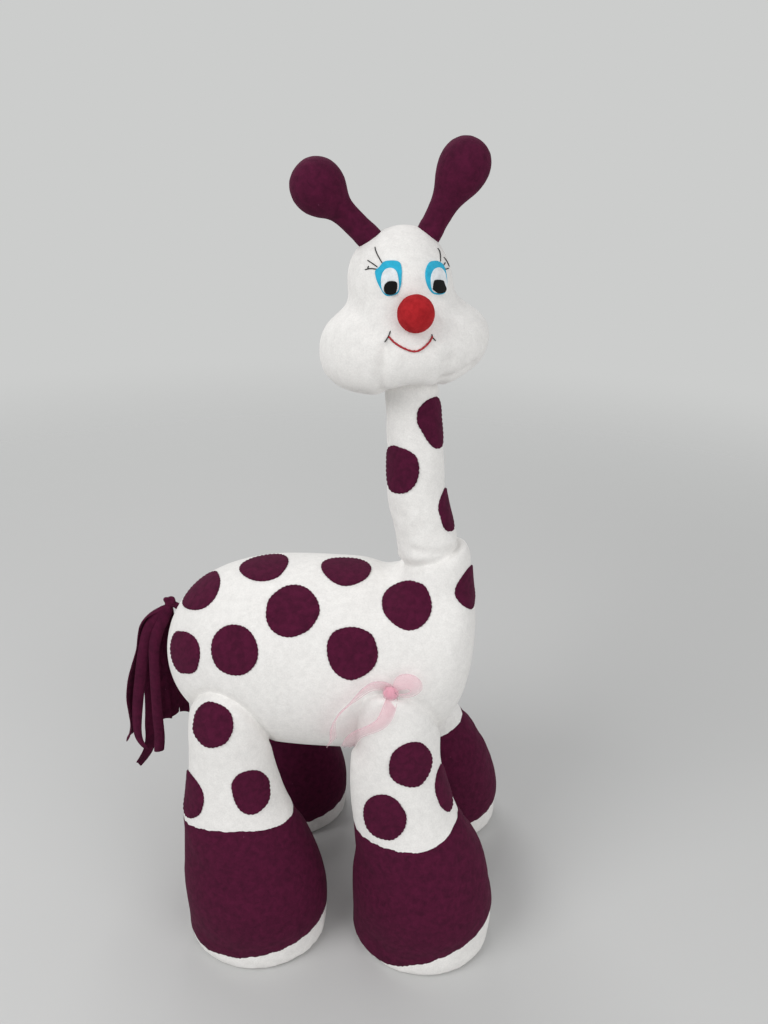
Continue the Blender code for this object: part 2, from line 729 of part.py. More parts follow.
def build_eyes(form, tree, to_head, pivot):
    """Three layers of felt for each eye, one on the other, and the lashes of one thread beside them."""
    upright = to_head.to_3x3() @ UP
    layers = []
    lift = CLEARANCE
    for layer, *_ in EYE_LAYERS:
        layers.append(rind_cutter(f"eye_{layer}_layer", form, lift, lift + FELT_THICKNESS))
        lift += FELT_THICKNESS + CLEARANCE
    colours = (BLUE_FELT, WHITE_FELT, BLACK_FELT)
    trim = guard_cutter("lash_seat", form, CLEARANCE)
    for side, across_share, rise in EYE_PLACE_SHARES:
        across, up = across_share * HEAD_WIDTH / 2, rise * HEAD_HEIGHT
        for (layer, width, height, aside, above), rind, colour in zip(EYE_LAYERS, layers, colours):
            place, normal = face_point(tree, to_head, across + aside, up + above)
            add_patch(
                f"eye_{side}_{layer}", place, normal, upright, (width, height), rind, colour, pivot
            )
        outward = math.copysign(1, across)

        def lash_point(place_from_eye):
            """The middle of a thread that lies on the face, with the direction away from it."""
            aside, above = place_from_eye
            place, normal = face_point(tree, to_head, across + outward * aside, up + above)
            return place + normal * (CLEARANCE + LASH_THREAD_RADIUS), normal

        root, normal = lash_point(LASH_ROOT)
        meshes = [ball_mesh(root, normal, LASH_KNOT_RADIUS, LASH_KNOT_RADIUS, 6)]
        for tip in LASH_TIPS:
            points = [root]
            for share in (0.5, 1):
                between = [near + (far - near) * share for near, far in zip(LASH_ROOT, tip)]
                points.append(lash_point(between)[0])
            meshes.append(thread_mesh(points, LASH_THREAD_RADIUS, normal))
        cut(add_joined(f"eye_{side}_lashes", meshes, BLACK_THREAD, pivot), trim)


def build_mouth(form, tree, to_head, pivot):
    """A smile of stitched thread with a black stitch at each corner."""
    stand = CLEARANCE + MOUTH_THREAD_RADIUS
    rise = MOUTH_RISE_SHARE * HEAD_HEIGHT
    out = to_head.to_3x3() @ Vector((0, -1, 0))
    points = []
    for i in range(MOUTH_POINTS):
        aside = 2 * i / (MOUTH_POINTS - 1) - 1
        across = MOUTH_ACROSS + aside * MOUTH_WIDTH / 2
        place, normal = face_point(tree, to_head, across, rise - MOUTH_DROP * (1 - aside ** 2))
        points.append(place + normal * stand)
    trim = guard_cutter("mouth_seat", form, CLEARANCE)
    mouth = add_part("mouth", thread_mesh(points, MOUTH_THREAD_RADIUS, out), RED_THREAD, pivot)
    cut(mouth, trim)
    for side, way in (("left", -1), ("right", 1)):
        ends = []
        for outward, above in CORNER_STITCH:
            across = MOUTH_ACROSS + way * (MOUTH_WIDTH / 2 + outward + 2 * MOUTH_THREAD_RADIUS)
            place, normal = face_point(tree, to_head, across, rise + above)
            ends.append(place + normal * stand)
        stitch = thread_mesh([ends[0], middle(ends), ends[1]], LASH_THREAD_RADIUS, out)
        cut(add_part(f"mouth_corner_{side}", stitch, BLACK_THREAD, pivot), trim)


def build_tail(tree):
    """The knot on the rump, and below it the strips that it ties."""
    behind = Vector((-TORSO_LENGTH, 0, TORSO_MIDDLE_Z + TAIL_RISE_SHARE * TORSO_HEIGHT / 2))
    seat, normal = surface_at(tree, behind, Vector((1, 0, 0)))
    centre = seat + normal * (CLEARANCE + KNOT_RADIUS)
    pivot = add_pivot("tail_root", centre)
    add_part("tail_knot", ball_mesh(centre, normal, KNOT_RADIUS, KNOT_RADIUS), PLUM_FLEECE)
    collar = centre - Vector((COLLAR_REACH, 0, COLLAR_DROP))
    meshes = [ball_mesh(collar, UP, COLLAR_RADIUS, COLLAR_RADIUS)]
    for aside, reach, length, drift, turn in STRIP_SHARES:
        points = []
        widthways = []
        for i in range(STRIP_POINTS):
            down = i / (STRIP_POINTS - 1)
            turned_down = STRIP_TURN_SHARE + (1 - STRIP_TURN_SHARE) * reach ** 2
            opened = 1 - (1 - min(down / turned_down, 1)) ** 2
            points.append(collar + Vector((
                -TAIL_SPREAD * reach * opened + TAIL_DRIFT * drift * down ** 2,
                TAIL_FAN * aside * opened,
                -(TAIL_LENGTH * length - COLLAR_DROP) * down,
            )))
            angle = math.radians(turn)
            widthways.append(Vector((math.cos(angle), math.sin(angle), 0)))
        meshes.append(band_mesh(points, widthways, STRIP_WIDTH, STRIP_THICKNESS))
    strips = add_joined("tail_strips", meshes, PLUM_FLEECE, pivot)
    cut(strips, socket_cutter("tail_socket", centre, KNOT_RADIUS))


def build_bow(tree):
    """A small ribbon bow: its knot, one loop and two tails."""
    height = TORSO_MIDDLE_Z + BOW_RISE_SHARE * TORSO_HEIGHT / 2
    near = Vector((0, -TORSO_WIDTH, 0))
    seat, normal = surface_at(tree, near + Vector((BOW_X, 0, height)), Vector((0, 1, 0)))
    centre = seat + normal * (CLEARANCE + BOW_KNOT_RADIUS)
    meshes = [ball_mesh(centre, normal, BOW_KNOT_RADIUS, BOW_KNOT_RADIUS)]
    ahead = UP.cross(normal).normalized()
    lifted = Matrix.Rotation(math.radians(BOW_LOOP_RISE), 3, normal)
    first, last = BOW_LOOP_ENDS
    loop = []
    for i in range(BOW_LOOP_POINTS):
        turn = math.pi * (first + (last - first) * i / (BOW_LOOP_POINTS - 1))
        away = BOW_LOOP_LENGTH / 2 * (1 - math.cos(turn))
        out = BOW_LOOP_DEPTH / 2 * (1 - math.sin(turn))
        loop.append(centre + lifted @ ahead * away + normal * out)
    meshes.append(band_mesh(loop, [lifted @ UP] * len(loop), BOW_LOOP_WIDTH, RIBBON_THICKNESS))
    for places in BOW_TAILS:
        points = [centre]
        for along, up in places:
            from_side = near + Vector((BOW_X + along, 0, height + up))
            place, out = surface_at(tree, from_side, Vector((0, 1, 0)))
            place += out * RIBBON_STAND
            place.y = min(place.y, points[-1].y)
            points.append(place)
        widthways = [UP if i < RIBBON_TWIST_POINT else ahead for i in range(len(points))]
        meshes.append(band_mesh(points, widthways, RIBBON_WIDTH, RIBBON_THICKNESS))
    add_joined("ribbon_bow", meshes, PINK_ORGANZA, None, RIBBON_ROUGHNESS)


def build_leg(name, hip_x, side, lead, splay):
    """A leg's three covers and its stuffing on a pivot at the hip."""
    pivot = add_pivot(f"{name}_hip", (hip_x, side * HIP_Y, HIP_Z))
    form, stretches = leg_form(hip_x, side, lead, splay)
    names = (f"{name}_sole", f"{name}_hoof_cover", f"{name}_leg_cover")
    colours = (WHITE_FLEECE, PLUM_FLEECE, WHITE_FLEECE)
    for piece, colour, bm in zip(names, colours, shells_of(form, stretches)):
        add_part(piece, bm, colour, pivot)
    add_part(f"{name}_leg_stuffing", stuffing_mesh(form), FIBRE_FILL, pivot)
    return form, pivot


def spot_layer(name, form):
    """The layer of cloth in which a form's spots lie."""
    return rind_cutter(f"{name}_spot_layer", form, CLEARANCE, CLEARANCE + SPOT_THICKNESS)


def build_torso_spots(form, tree, neck_socket):
    """The spots of the torso's near side, clear of the neck."""
    layer = spot_layer("torso", form)
    for number, (along, turn, share) in enumerate(TORSO_SPOT_SHARES, 1):
        angle = math.radians(turn)
        inside = Vector((along * TORSO_LENGTH / 2, 0, TORSO_MIDDLE_Z))
        place, normal = surface_at(tree, inside, Vector((0, -math.sin(angle), math.cos(angle))))
        upright = Vector((0, math.cos(angle), math.sin(angle)))
        size = [2 * TORSO_SPOT_RADIUS * share] * 2
        spot = add_patch(f"torso_spot_{number}", place, normal, upright, size, layer, PLUM_FLEECE)
        cut(spot, neck_socket)


def build_neck_spots(form, pivot):
    """The spots of the neck."""
    layer = spot_layer("neck", form)
    tree = form.tree()
    foot, top = neck_ends()
    for number, (along, turn) in enumerate(NECK_SPOT_SHARES, 1):
        angle = math.radians(turn)
        way = Vector((math.sin(angle), -math.cos(angle), 0))
        place, normal = surface_at(tree, foot.lerp(top, along), way)
        add_patch(f"neck_spot_{number}", place, normal, UP, NECK_SPOT_SIZE, layer, PLUM_FLEECE, pivot)


def build_leg_spots(name, form, pivot, guard):
    """The spots of one near leg, trimmed where the torso crowds them."""
    layer = spot_layer(name, form)
    tree = form.tree()
    hip = pivot.location
    for number, (rise, turn) in enumerate(LEG_SPOT_SHARES[name], 1):
        angle = math.radians(turn)
        way = Vector((math.sin(angle), -math.cos(angle), 0))
        place, normal = surface_at(tree, Vector((hip.x, hip.y, HIP_Z * rise)), way)
        spot = add_patch(f"{name}_spot_{number}", place, normal, UP, LEG_SPOT_SIZE, layer, PLUM_FLEECE, pivot)
        cut(spot, guard)


def recentre(objects):
    """Moves everything so that the origin is under the middle of the object's box."""
    bpy.context.view_layer.update()
    depsgraph = bpy.context.evaluated_depsgraph_get()
    corners = []
    for obj in objects:
        if obj.type == "MESH":
            shape = obj.evaluated_get(depsgraph)
            corners += [obj.matrix_world @ Vector(corner) for corner in shape.bound_box]
    low = Vector([min(corner[i] for corner in corners) for i in range(3)])
    high = Vector([max(corner[i] for corner in corners) for i in range(3)])
    shift = -(low + high) / 2
    shift.z = -low.z
    for obj in bpy.data.objects:
        if not obj.parent:
            obj.location += shift
    bpy.context.view_layer.update()
    return shift


for old in list(bpy.data.objects):
    bpy.data.objects.remove(old)
PARTS = new_collection("plush_giraffe")
CUTTERS = new_collection("giraffe_cutters")

TORSO = torso_form()
TORSO_TREE = TORSO.tree()
NECK_FOOT, NECK_TOP = neck_ends()
SOCKETS = [
    socket_cutter(f"{name}_socket", Vector((hip_x, side * HIP_Y, HIP_Z)), HIP_RADIUS)
    for name, hip_x, side, _, _ in LEGS
]
SOCKETS += [swing_room(*leg) for leg in LEGS]
NECK_SOCKET = socket_cutter("neck_socket", NECK_FOOT, NECK_FOOT_RADIUS, NECK_SOCKET_SIDES)
SOCKETS.append(NECK_SOCKET)
build_torso(TORSO, SOCKETS)
build_torso_spots(TORSO, TORSO_TREE, NECK_SOCKET)
build_tail(TORSO_TREE)
build_bow(TORSO_TREE)

NECK = neck_form()
NECK_PIVOT = add_pivot("neck_foot", NECK_FOOT)
build_neck(NECK, NECK_PIVOT)
build_neck_spots(NECK, NECK_PIVOT)

HEAD = head_form()
HEAD_TREE = HEAD.tree()
TO_HEAD = head_matrix()
HEAD_PIVOT = add_pivot("head_foot", NECK_TOP, NECK_PIVOT)
HEAD_SOCKETS = build_horns(HEAD_TREE, TO_HEAD, HEAD_PIVOT)
HEAD_SOCKETS.append(socket_cutter("head_socket", NECK_TOP, NECK_TOP_RADIUS))
build_head(HEAD, HEAD_PIVOT, HEAD_SOCKETS)
build_nose(HEAD, HEAD_TREE, TO_HEAD, HEAD_PIVOT)
build_eyes(HEAD, HEAD_TREE, TO_HEAD, HEAD_PIVOT)
build_mouth(HEAD, HEAD_TREE, TO_HEAD, HEAD_PIVOT)

TORSO_GUARD = guard_cutter("torso_guard", TORSO, 2 * SPOT_THICKNESS)
for leg_name, *stance in LEGS:
    leg, hip_pivot = build_leg(leg_name, *stance)
    if leg_name in LEG_SPOT_SHARES:
        build_leg_spots(leg_name, leg, hip_pivot, TORSO_GUARD)

SHIFT = recentre(PARTS.objects)
print("origin moved by", [round(value, 5) for value in SHIFT])
for seam in PARTS.objects:
    if seam.type == "EMPTY":
        print(seam.name, "at", [round(value, 5) for value in seam.matrix_world.translation])
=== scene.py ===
import math

import bmesh
import bpy
import numpy as np
from mathutils import Matrix, Vector
from mathutils.bvhtree import BVHTree


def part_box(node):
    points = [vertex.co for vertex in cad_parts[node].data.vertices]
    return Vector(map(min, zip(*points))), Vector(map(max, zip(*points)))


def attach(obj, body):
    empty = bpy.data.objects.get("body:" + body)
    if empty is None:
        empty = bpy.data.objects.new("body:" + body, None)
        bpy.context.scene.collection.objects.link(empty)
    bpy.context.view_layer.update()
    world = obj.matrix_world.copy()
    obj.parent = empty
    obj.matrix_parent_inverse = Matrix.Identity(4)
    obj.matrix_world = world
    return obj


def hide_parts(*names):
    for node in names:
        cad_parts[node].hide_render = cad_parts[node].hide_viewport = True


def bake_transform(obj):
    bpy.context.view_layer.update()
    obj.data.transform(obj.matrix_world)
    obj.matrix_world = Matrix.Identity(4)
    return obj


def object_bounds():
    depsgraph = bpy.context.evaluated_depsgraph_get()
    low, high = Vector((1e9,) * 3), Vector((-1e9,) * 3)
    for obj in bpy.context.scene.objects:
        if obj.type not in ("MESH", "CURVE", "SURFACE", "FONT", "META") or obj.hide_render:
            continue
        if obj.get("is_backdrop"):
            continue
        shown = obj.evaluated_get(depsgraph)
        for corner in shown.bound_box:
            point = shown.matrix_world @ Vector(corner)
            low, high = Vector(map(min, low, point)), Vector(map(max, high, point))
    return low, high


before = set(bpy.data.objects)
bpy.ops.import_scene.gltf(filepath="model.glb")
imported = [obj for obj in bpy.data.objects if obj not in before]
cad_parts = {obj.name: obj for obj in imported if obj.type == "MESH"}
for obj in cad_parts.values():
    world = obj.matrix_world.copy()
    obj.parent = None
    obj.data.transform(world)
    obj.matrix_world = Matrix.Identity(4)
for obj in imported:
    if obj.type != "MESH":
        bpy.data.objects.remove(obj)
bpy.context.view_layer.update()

# The camera stands at the giraffe's near side, about level with its horns, and looks down at it as
# someone does who stands at the table. The lens takes in the whole toy from close by.
CAMERA_PLACE = Vector((0.1074, -0.639, 0.72))
LOOK_DOWN = 24.0
LOOK_ROUND = 4.0
CAMERA_LEAN = 1.05
LENS = 27.07
SENSOR_WIDTH = 36.0

down, around, lean = (math.radians(angle) for angle in (LOOK_DOWN, LOOK_ROUND, CAMERA_LEAN))
ahead = Vector((-math.sin(around) * math.cos(down), math.cos(around) * math.cos(down), -math.sin(down)))
level = Vector((math.cos(around), math.sin(around), 0))
upright = level.cross(ahead) * math.cos(lean) - level * math.sin(lean)
camera = bpy.data.objects.new("camera", bpy.data.cameras.new("camera"))
camera.data.lens = LENS
camera.data.sensor_width = SENSOR_WIDTH
camera.matrix_world = Matrix.Translation(CAMERA_PLACE) @ Matrix(
    (ahead.cross(upright), upright, -ahead)).transposed().to_4x4()
bpy.context.scene.collection.objects.link(camera)
bpy.context.scene.camera = camera

# The torso is a fat sausage of white anti-pill fleece, sewn shut along its belly and packed hard
# with polyester fibre. Its cloth is soft and dull, with a short brushed nap and a little lint.
TORSO_LENGTH = 0.306
TORSO_HEIGHT = 0.196
TORSO_WIDTH = 0.174
TORSO_MIDDLE_Z = 0.281
# along the half length, size over the half height and width, rise over the half height
TORSO_ROWS = (
    (-1.0, 0.0, -0.04), (-0.945, 0.37, -0.03), (-0.82, 0.645, -0.02), (-0.64, 0.83, 0.0),
    (-0.38, 0.96, 0.0), (-0.08, 1.0, 0.0), (0.28, 0.99, 0.0), (0.55, 0.965, 0.01), (0.77, 0.87, 0.1),
    (0.90, 0.71, 0.23), (0.97, 0.46, 0.32), (1.0, 0.0, 0.37),
)
# the shoulder that rises in front of the neck's foot: how far up it, its radius there, and how far
# it tips up at the front
SHOULDER_FOOT = Vector((0.105, 0, 0.345))
SHOULDER_WAY = Vector((0.12, 0, 1))
SHOULDER_ROWS = (
    (0.0, 0.046, 0), (0.02, 0.0405, 1), (0.036, 0.0365, 3), (0.046, 0.034, 8), (0.054, 0.0305, 14),
    (0.058, 0.022, 16), (0.059, 0.0, 16),
)
# the hollow behind the neck, from one side over the back to the other
BACK_HOLLOW = (
    (0.062, -0.045, 0.362), (0.066, -0.02, 0.374), (0.067, 0, 0.377), (0.066, 0.02, 0.374),
    (0.062, 0.045, 0.362),
)
HOLLOW_DEPTH, HOLLOW_WIDTH = 0.004, 0.014
# the seam along the belly: how wide a band it holds, and how far under the middle it starts, over
# the torso's height
BELLY_SEAM_WIDTH = 0.004
BELLY_FROM = 0.3
# how far the filling swells a cover between its seams
FLEECE_SWELL = 0.002
# how far in a cover lies before it is filled, over its swell, how much of that a seam takes off, and
# how far it may sink instead of swelling
EMPTY_SHARE = 0.9
SEAM_SHARE = 0.7
SINK_SHARE = 0.3
FILLING_STEPS = 20
# how far beside a fold its bank rises, over the fold's width
BANK_AWAY = 2.2
# The white fleece's colour, and a darker copy mixed in by random clumps as painted shade
WHITE_LIT = "#efedea"
WHITE_PAINTED_SHADE = "#e6e4e1"
LINT_GREY = "#8f93a0"
FORWARD = Vector((1, 0, 0))
ASIDE = Vector((0, 1, 0))
UP = Vector((0, 0, 1))

low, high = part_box("torso_cover")
MIDLINE = Vector(((low.x + high.x) / 2, (low.y + high.y) / 2, 0))


def linear(hex_colour):
    """A hex colour as the linear values that a shader takes."""
    channels = [int(hex_colour[i:i + 2], 16) / 255 for i in (1, 3, 5)]
    return [c / 12.92 if c <= 0.04045 else ((c + 0.055) / 1.055) ** 2.4 for c in channels] + [1.0]


def connect(tree, node, inputs):
    """Gives a node its inputs, as values or as links from other nodes."""
    for key, value in inputs.items():
        if isinstance(value, bpy.types.NodeSocket):
            tree.links.new(value, node.inputs[key])
        else:
            node.inputs[key].default_value = value


def add_node(tree, kind, inputs=None, **settings):
    """Adds a node, with its settings and its inputs."""
    node = tree.nodes.new(kind)
    for key, value in settings.items():
        setattr(node, key, value)
    connect(tree, node, inputs or {})
    return node


def start_material(name):
    """A new material, its nodes, its shader, and the socket that gives the place on the piece."""
    material = bpy.data.materials.new(name)
    material.use_nodes = True
    tree = material.node_tree
    place = add_node(tree, "ShaderNodeTexCoord").outputs["Object"]
    return material, tree, tree.nodes["Principled BSDF"], place


def fleece(name, lit, painted_shade, lint, sheen):
    """Anti-pill polyester fleece: dull, with a brushed nap that catches light along its edges.

    The nap's real fibres are 0.02 mm thick. It is drawn as tufts of about a millimetre, the finest
    that show, over pills of 4 mm. A darker copy of its colour is mixed in by random clumps as
    painted shade, and a slow change of tone paints the shade of lumps where the fill is uneven."""
    material, tree, shader, place = start_material(name)
    tufts = add_node(tree, "ShaderNodeTexNoise", {
        "Vector": place, "Scale": 800.0, "Detail": 4.0, "Roughness": 0.7})
    clumps = add_node(tree, "ShaderNodeTexNoise", {
        "Vector": place, "Scale": 170.0, "Detail": 4.0, "Roughness": 0.6, "Distortion": 0.4})
    tone = add_node(tree, "ShaderNodeTexNoise", {"Vector": place, "Scale": 22.0, "Detail": 2.0})
    pills = add_node(tree, "ShaderNodeTexVoronoi", {
        "Vector": place, "Scale": 240.0, "Smoothness": 0.7}, feature="SMOOTH_F1")
    flecks = add_node(tree, "ShaderNodeTexVoronoi", {"Vector": place, "Scale": 34.0})
    # Where the clumps are, the darker copy of the colour is mixed in: painted shade.
    painted_shade_share = add_node(tree, "ShaderNodeMapRange", {
        "Value": clumps.outputs["Fac"], "From Min": 0.35, "From Max": 0.7})
    cloth = add_node(tree, "ShaderNodeMix", {
        "Factor": painted_shade_share.outputs["Result"], "A": linear(lit), "B": linear(painted_shade)}, data_type="RGBA")
    fine = add_node(tree, "ShaderNodeMapRange", {
        "Value": tufts.outputs["Fac"], "From Min": 0.3, "From Max": 0.7, "To Min": 0.92, "To Max": 1.05})
    # The slow tone paints the light and shade of lumps where the fill is uneven.
    slow = add_node(tree, "ShaderNodeMapRange", {
        "Value": tone.outputs["Fac"], "From Min": 0.3, "From Max": 0.7, "To Min": 0.98, "To Max": 1.01})
    shade = add_node(tree, "ShaderNodeMath", {
        0: fine.outputs["Result"], 1: slow.outputs["Result"]}, operation="MULTIPLY")
    napped = add_node(tree, "ShaderNodeVectorMath", {
        0: cloth.outputs["Result"], "Scale": shade.outputs[0]}, operation="SCALE")
    fleck_mask = add_node(tree, "ShaderNodeMath", {
        0: flecks.outputs["Distance"], 1: 0.02}, operation="LESS_THAN")
    fleck_share = add_node(tree, "ShaderNodeMath", {
        0: fleck_mask.outputs[0], 1: 0.5}, operation="MULTIPLY")
    final = add_node(tree, "ShaderNodeMix", {
        "Factor": fleck_share.outputs[0], "A": napped.outputs[0], "B": linear(lint)}, data_type="RGBA")
    relief = add_node(tree, "ShaderNodeMath", {
        0: pills.outputs["Distance"], 1: 0.35, 2: tufts.outputs["Fac"]}, operation="MULTIPLY_ADD")
    bump = add_node(tree, "ShaderNodeBump", {
        "Height": relief.outputs[0], "Strength": 0.4, "Distance": 0.0005})
    dullness = add_node(tree, "ShaderNodeMapRange", {
        "Value": clumps.outputs["Fac"], "To Min": 0.86, "To Max": 1.0})
    connect(tree, shader, {
        "Base Color": final.outputs["Result"], "Normal": bump.outputs["Normal"],
        "Roughness": dullness.outputs["Result"], "Specular IOR Level": 0.2, "Sheen Weight": sheen,
        "Sheen Roughness": 0.5, "Sheen Tint": linear(lit)})
    return material


def curve(a, b, c, d, t):
    """The smooth curve from b to c, at a share t of the way; a comes before them and d after."""
    return 0.5 * (
        2 * b + (c - a) * t + (2 * a - 5 * b + 4 * c - d) * t ** 2 + (3 * b - a - 3 * c + d) * t ** 3)


def eased(rows, steps, round_low=None, round_high=None):
    """Rows of sizes joined by a smooth curve. Signs that flip at an end round it over."""
    rows = np.array(rows, float)
    before = rows[1] * round_low if round_low else 2 * rows[0] - rows[1]
    after = rows[-2] * round_high if round_high else 2 * rows[-1] - rows[-2]
    rows = np.vstack([before, rows, after])
    found = []
    for a, b, c, d in zip(rows, rows[1:], rows[2:], rows[3:]):
        found += [curve(a, b, c, d, t) for t in np.arange(steps) / steps]
    return found + [rows[-2]]


def oval(centre, across, beside, half_across, half_beside, sides=40):
    """A ring of points, or one point where it has no size."""
    if half_across < 1e-6:
        return [centre]
    turns = [2 * math.pi * i / sides for i in range(sides)]
    return [
        centre + across * (half_across * math.cos(turn)) + beside * (half_beside * math.sin(turn))
        for turn in turns
    ]


def sewn_form(name, rings):
    """A closed form through rings of points, in the scene."""
    bm = bmesh.new()
    rows = [[bm.verts.new(point) for point in ring] for ring in rings]
    for near, far in zip(rows, rows[1:]):
        for i in range(max(len(near), len(far))):
            j = i + 1
            corners = (near[i % len(near)], near[j % len(near)], far[j % len(far)], far[i % len(far)])
            bm.faces.new(list(dict.fromkeys(corners)))
    for row in (rows[0][::-1], rows[-1]):
        if len(row) > 1:
            bm.faces.new(row)
    return closed(name, bm)


def closed(name, bm):
    """A bmesh with no open edge as an object in the scene, its faces turned outward."""
    bmesh.ops.recalc_face_normals(bm, faces=bm.faces)
    return in_scene(name, bm)


def in_scene(name, bm):
    """A bmesh as a smooth object in the scene."""
    mesh = bpy.data.meshes.new(name)
    bm.to_mesh(mesh)
    bm.free()
    mesh.shade_smooth()
    obj = bpy.data.objects.new(name, mesh)
    bpy.context.scene.collection.objects.link(obj)
    return obj


def joined_to(obj, other):
    """Adds another form's mesh to an object; the remesh makes one skin of them."""
    bm = bmesh.new()
    bm.from_mesh(obj.data)
    bm.from_mesh(other.data)
    bm.to_mesh(obj.data)
    bm.free()
    bpy.data.objects.remove(other)


def settle(obj):
    """Turns an object's modifiers into its mesh."""
    bpy.context.view_layer.update()
    shaped = obj.evaluated_get(bpy.context.evaluated_depsgraph_get())
    obj.data = bpy.data.meshes.new_from_object(shaped)
    obj.modifiers.clear()
    obj.data.name = obj.name
    obj.data.shade_smooth()


def subdivide(obj):
    """Rounds a mesh by one subdivision."""
    subdivision = obj.modifiers.new("subdivision", "SUBSURF")
    subdivision.levels = subdivision.render_levels = 1
    settle(obj)


def read_points(mesh, what="vertices"):
    """A mesh's points, or their outward directions, as an array."""
    found = np.zeros(len(mesh.vertices) * 3, np.float32)
    if what == "vertices":
        mesh.vertices.foreach_get("co", found)
    else:
        mesh.vertex_normals.foreach_get("vector", found)
    return found.reshape(-1, 3).astype(float)


def write_points(mesh, points):
    """Puts an array of points back in a mesh."""
    mesh.vertices.foreach_set("co", points.astype(np.float32).ravel())
    mesh.update()


def stuff(obj, swell, held, voxel=0.005, slack=0.02):
    """Fills a sewn cover: its cloth is blown out from inside, and stays in where a seam holds it.

    held gives, for each point, how firmly a seam or the table holds it, from 0 to 1. slack is the
    share by which the cloth stretches."""
    remesh = obj.modifiers.new("remesh", "REMESH")
    remesh.mode = "VOXEL"
    remesh.voxel_size = voxel
    settle(obj)
    start = read_points(obj.data)
    firm = np.clip(held(start), 0, 1)
    outward = read_points(obj.data, "normals")
    start -= outward * (EMPTY_SHARE * swell * (1 - SEAM_SHARE * firm))[:, None]
    write_points(obj.data, start)
    blown = swell * (1 - firm)
    pins = obj.vertex_groups.new(name="seams")
    for index in np.flatnonzero(firm > 0.5):
        pins.add([int(index)], 1.0, "REPLACE")
    cloth = obj.modifiers.new("cloth", "CLOTH")
    cloth.settings.vertex_group_mass = "seams"
    cloth.settings.quality = 4
    cloth.settings.mass = 0.3
    cloth.settings.use_pressure = True
    cloth.settings.uniform_pressure_force = 4.0
    cloth.settings.shrink_min = -slack
    cloth.settings.effector_weights.gravity = 0.0
    cloth.collision_settings.use_collision = False
    for step in range(1, FILLING_STEPS + 1):
        bpy.context.scene.frame_set(step)
    shaped = obj.evaluated_get(bpy.context.evaluated_depsgraph_get())
    blown = ((read_points(shaped.data) - start) * outward).sum(1)
    obj.modifiers.clear()
    bpy.context.scene.frame_set(1)
    obj.vertex_groups.clear()
    blown = np.maximum(swell * np.tanh(blown / swell), -SINK_SHARE * swell)
    write_points(obj.data, start + outward * blown[:, None])
    bm = bmesh.new()
    bm.from_mesh(obj.data)
    bmesh.ops.smooth_vert(bm, verts=bm.verts, factor=0.5, use_axis_x=True, use_axis_y=True, use_axis_z=True)
    bm.to_mesh(obj.data)
    bm.free()
    subdivide(obj)


def away_from(points, path):
    """How far each point lies from a line of points."""
    best = np.full(len(points), 1e9)
    for start, end in zip(path, path[1:]):
        start, run = np.array(start), np.array(end) - np.array(start)
        share = np.clip((points - start) @ run / (run @ run), 0, 1)
        best = np.minimum(best, np.linalg.norm(points - start - share[:, None] * run, axis=1))
    return best


def draw_in(obj, far, depth, width, bank=0.1):
    """Draws a stuffed piece in where it is near a seam or fold, and lifts the banks beside it.

    far gives how far each point lies from that line, and bank how high a bank rises over the depth."""
    press = depth * np.exp(-(far / width) ** 2)
    press -= bank * depth * np.exp(-((far - BANK_AWAY * width) / width) ** 2)
    write_points(obj.data, read_points(obj.data) - read_points(obj.data, "normals") * press[:, None])


def press_fold(obj, path, depth, width, bank=0.1):
    """Draws a stuffed piece in along a line of points."""
    draw_in(obj, away_from(read_points(obj.data), path), depth, width, bank)


def surface_of(obj):
    """A piece's surface, to find places on."""
    bm = bmesh.new()
    bm.from_mesh(obj.data)
    bm.normal_update()
    tree = BVHTree.FromBMesh(bm)
    bm.free()
    return tree


white_fleece = fleece("white_anti_pill_fleece", WHITE_LIT, WHITE_PAINTED_SHADE, LINT_GREY, 0.25)
rings = []
for along, size, rise in eased(TORSO_ROWS, 4, (1, -1, 1), (1, -1, 1)):
    centre = MIDLINE + Vector((along * TORSO_LENGTH / 2, 0, TORSO_MIDDLE_Z + rise * TORSO_HEIGHT / 2))
    rings.append(oval(centre, ASIDE, UP, size * TORSO_WIDTH / 2, size * TORSO_HEIGHT / 2))
torso = sewn_form("torso_fleece", rings)
rings = []
for along, reach, tip in SHOULDER_ROWS:
    tip = math.radians(tip)
    centre = MIDLINE + SHOULDER_FOOT + SHOULDER_WAY.normalized() * along
    rings.append(oval(centre, ASIDE, Vector((-math.cos(tip), 0, -math.sin(tip))), reach, reach))
joined_to(torso, sewn_form("shoulder", rings))
stuff(torso, FLEECE_SWELL, lambda points: np.exp(-(points[:, 1] - MIDLINE.y) ** 2 / BELLY_SEAM_WIDTH ** 2)
      * (points[:, 2] < TORSO_MIDDLE_Z - BELLY_FROM * TORSO_HEIGHT), voxel=0.006)
press_fold(torso, [MIDLINE + Vector(place) for place in BACK_HOLLOW], HOLLOW_DEPTH, HOLLOW_WIDTH)
torso.data.materials.append(white_fleece)
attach(torso, "torso")
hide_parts("torso_cover", "torso_stuffing")

# The neck is a straight tube of the same white fleece, sewn to the torso by its open foot and
# pushed up into the head. It folds over itself where it leans on the torso.
NECK_FOOT = MIDLINE + Vector((0.108, 0, 0.389))
NECK_LENGTH = 0.158
NECK_LEAN = 0.0245
NECK_RADIUS = 0.0288
# rise over the neck's length, lean over its whole lean, radius over the foot's
NECK_ROWS = (
    (-0.14, -0.2, 0.8), (0.0, 0.0, 1.03), (0.12, 0.24, 1.03), (0.25, 0.44, 1.0), (0.43, 0.68, 0.97),
    (0.68, 0.76, 0.92), (1.0, 1.0, 0.85), (1.1, 1.05, 0.7),
)
# how far over the foot the head holds the cloth
NECK_HELD_FROM = 0.16
# how deep the foot's seam draws the cloth in, over what width, and the banks it leaves on the neck
# and on the torso
NECK_SEAM = (0.0026, 0.0038, (0.35, 0.0))
# the fold that the neck's lean gives it: degrees round from the front to the near side, and the
# height over the foot; then its depth, width and bank
NECK_FOLD = ((150, 0.021), (120, 0.0185), (90, 0.018), (62, 0.02), (42, 0.0185), (30, 0.014))
NECK_FOLD_SIZE = (0.0016, 0.0038, 0.3)


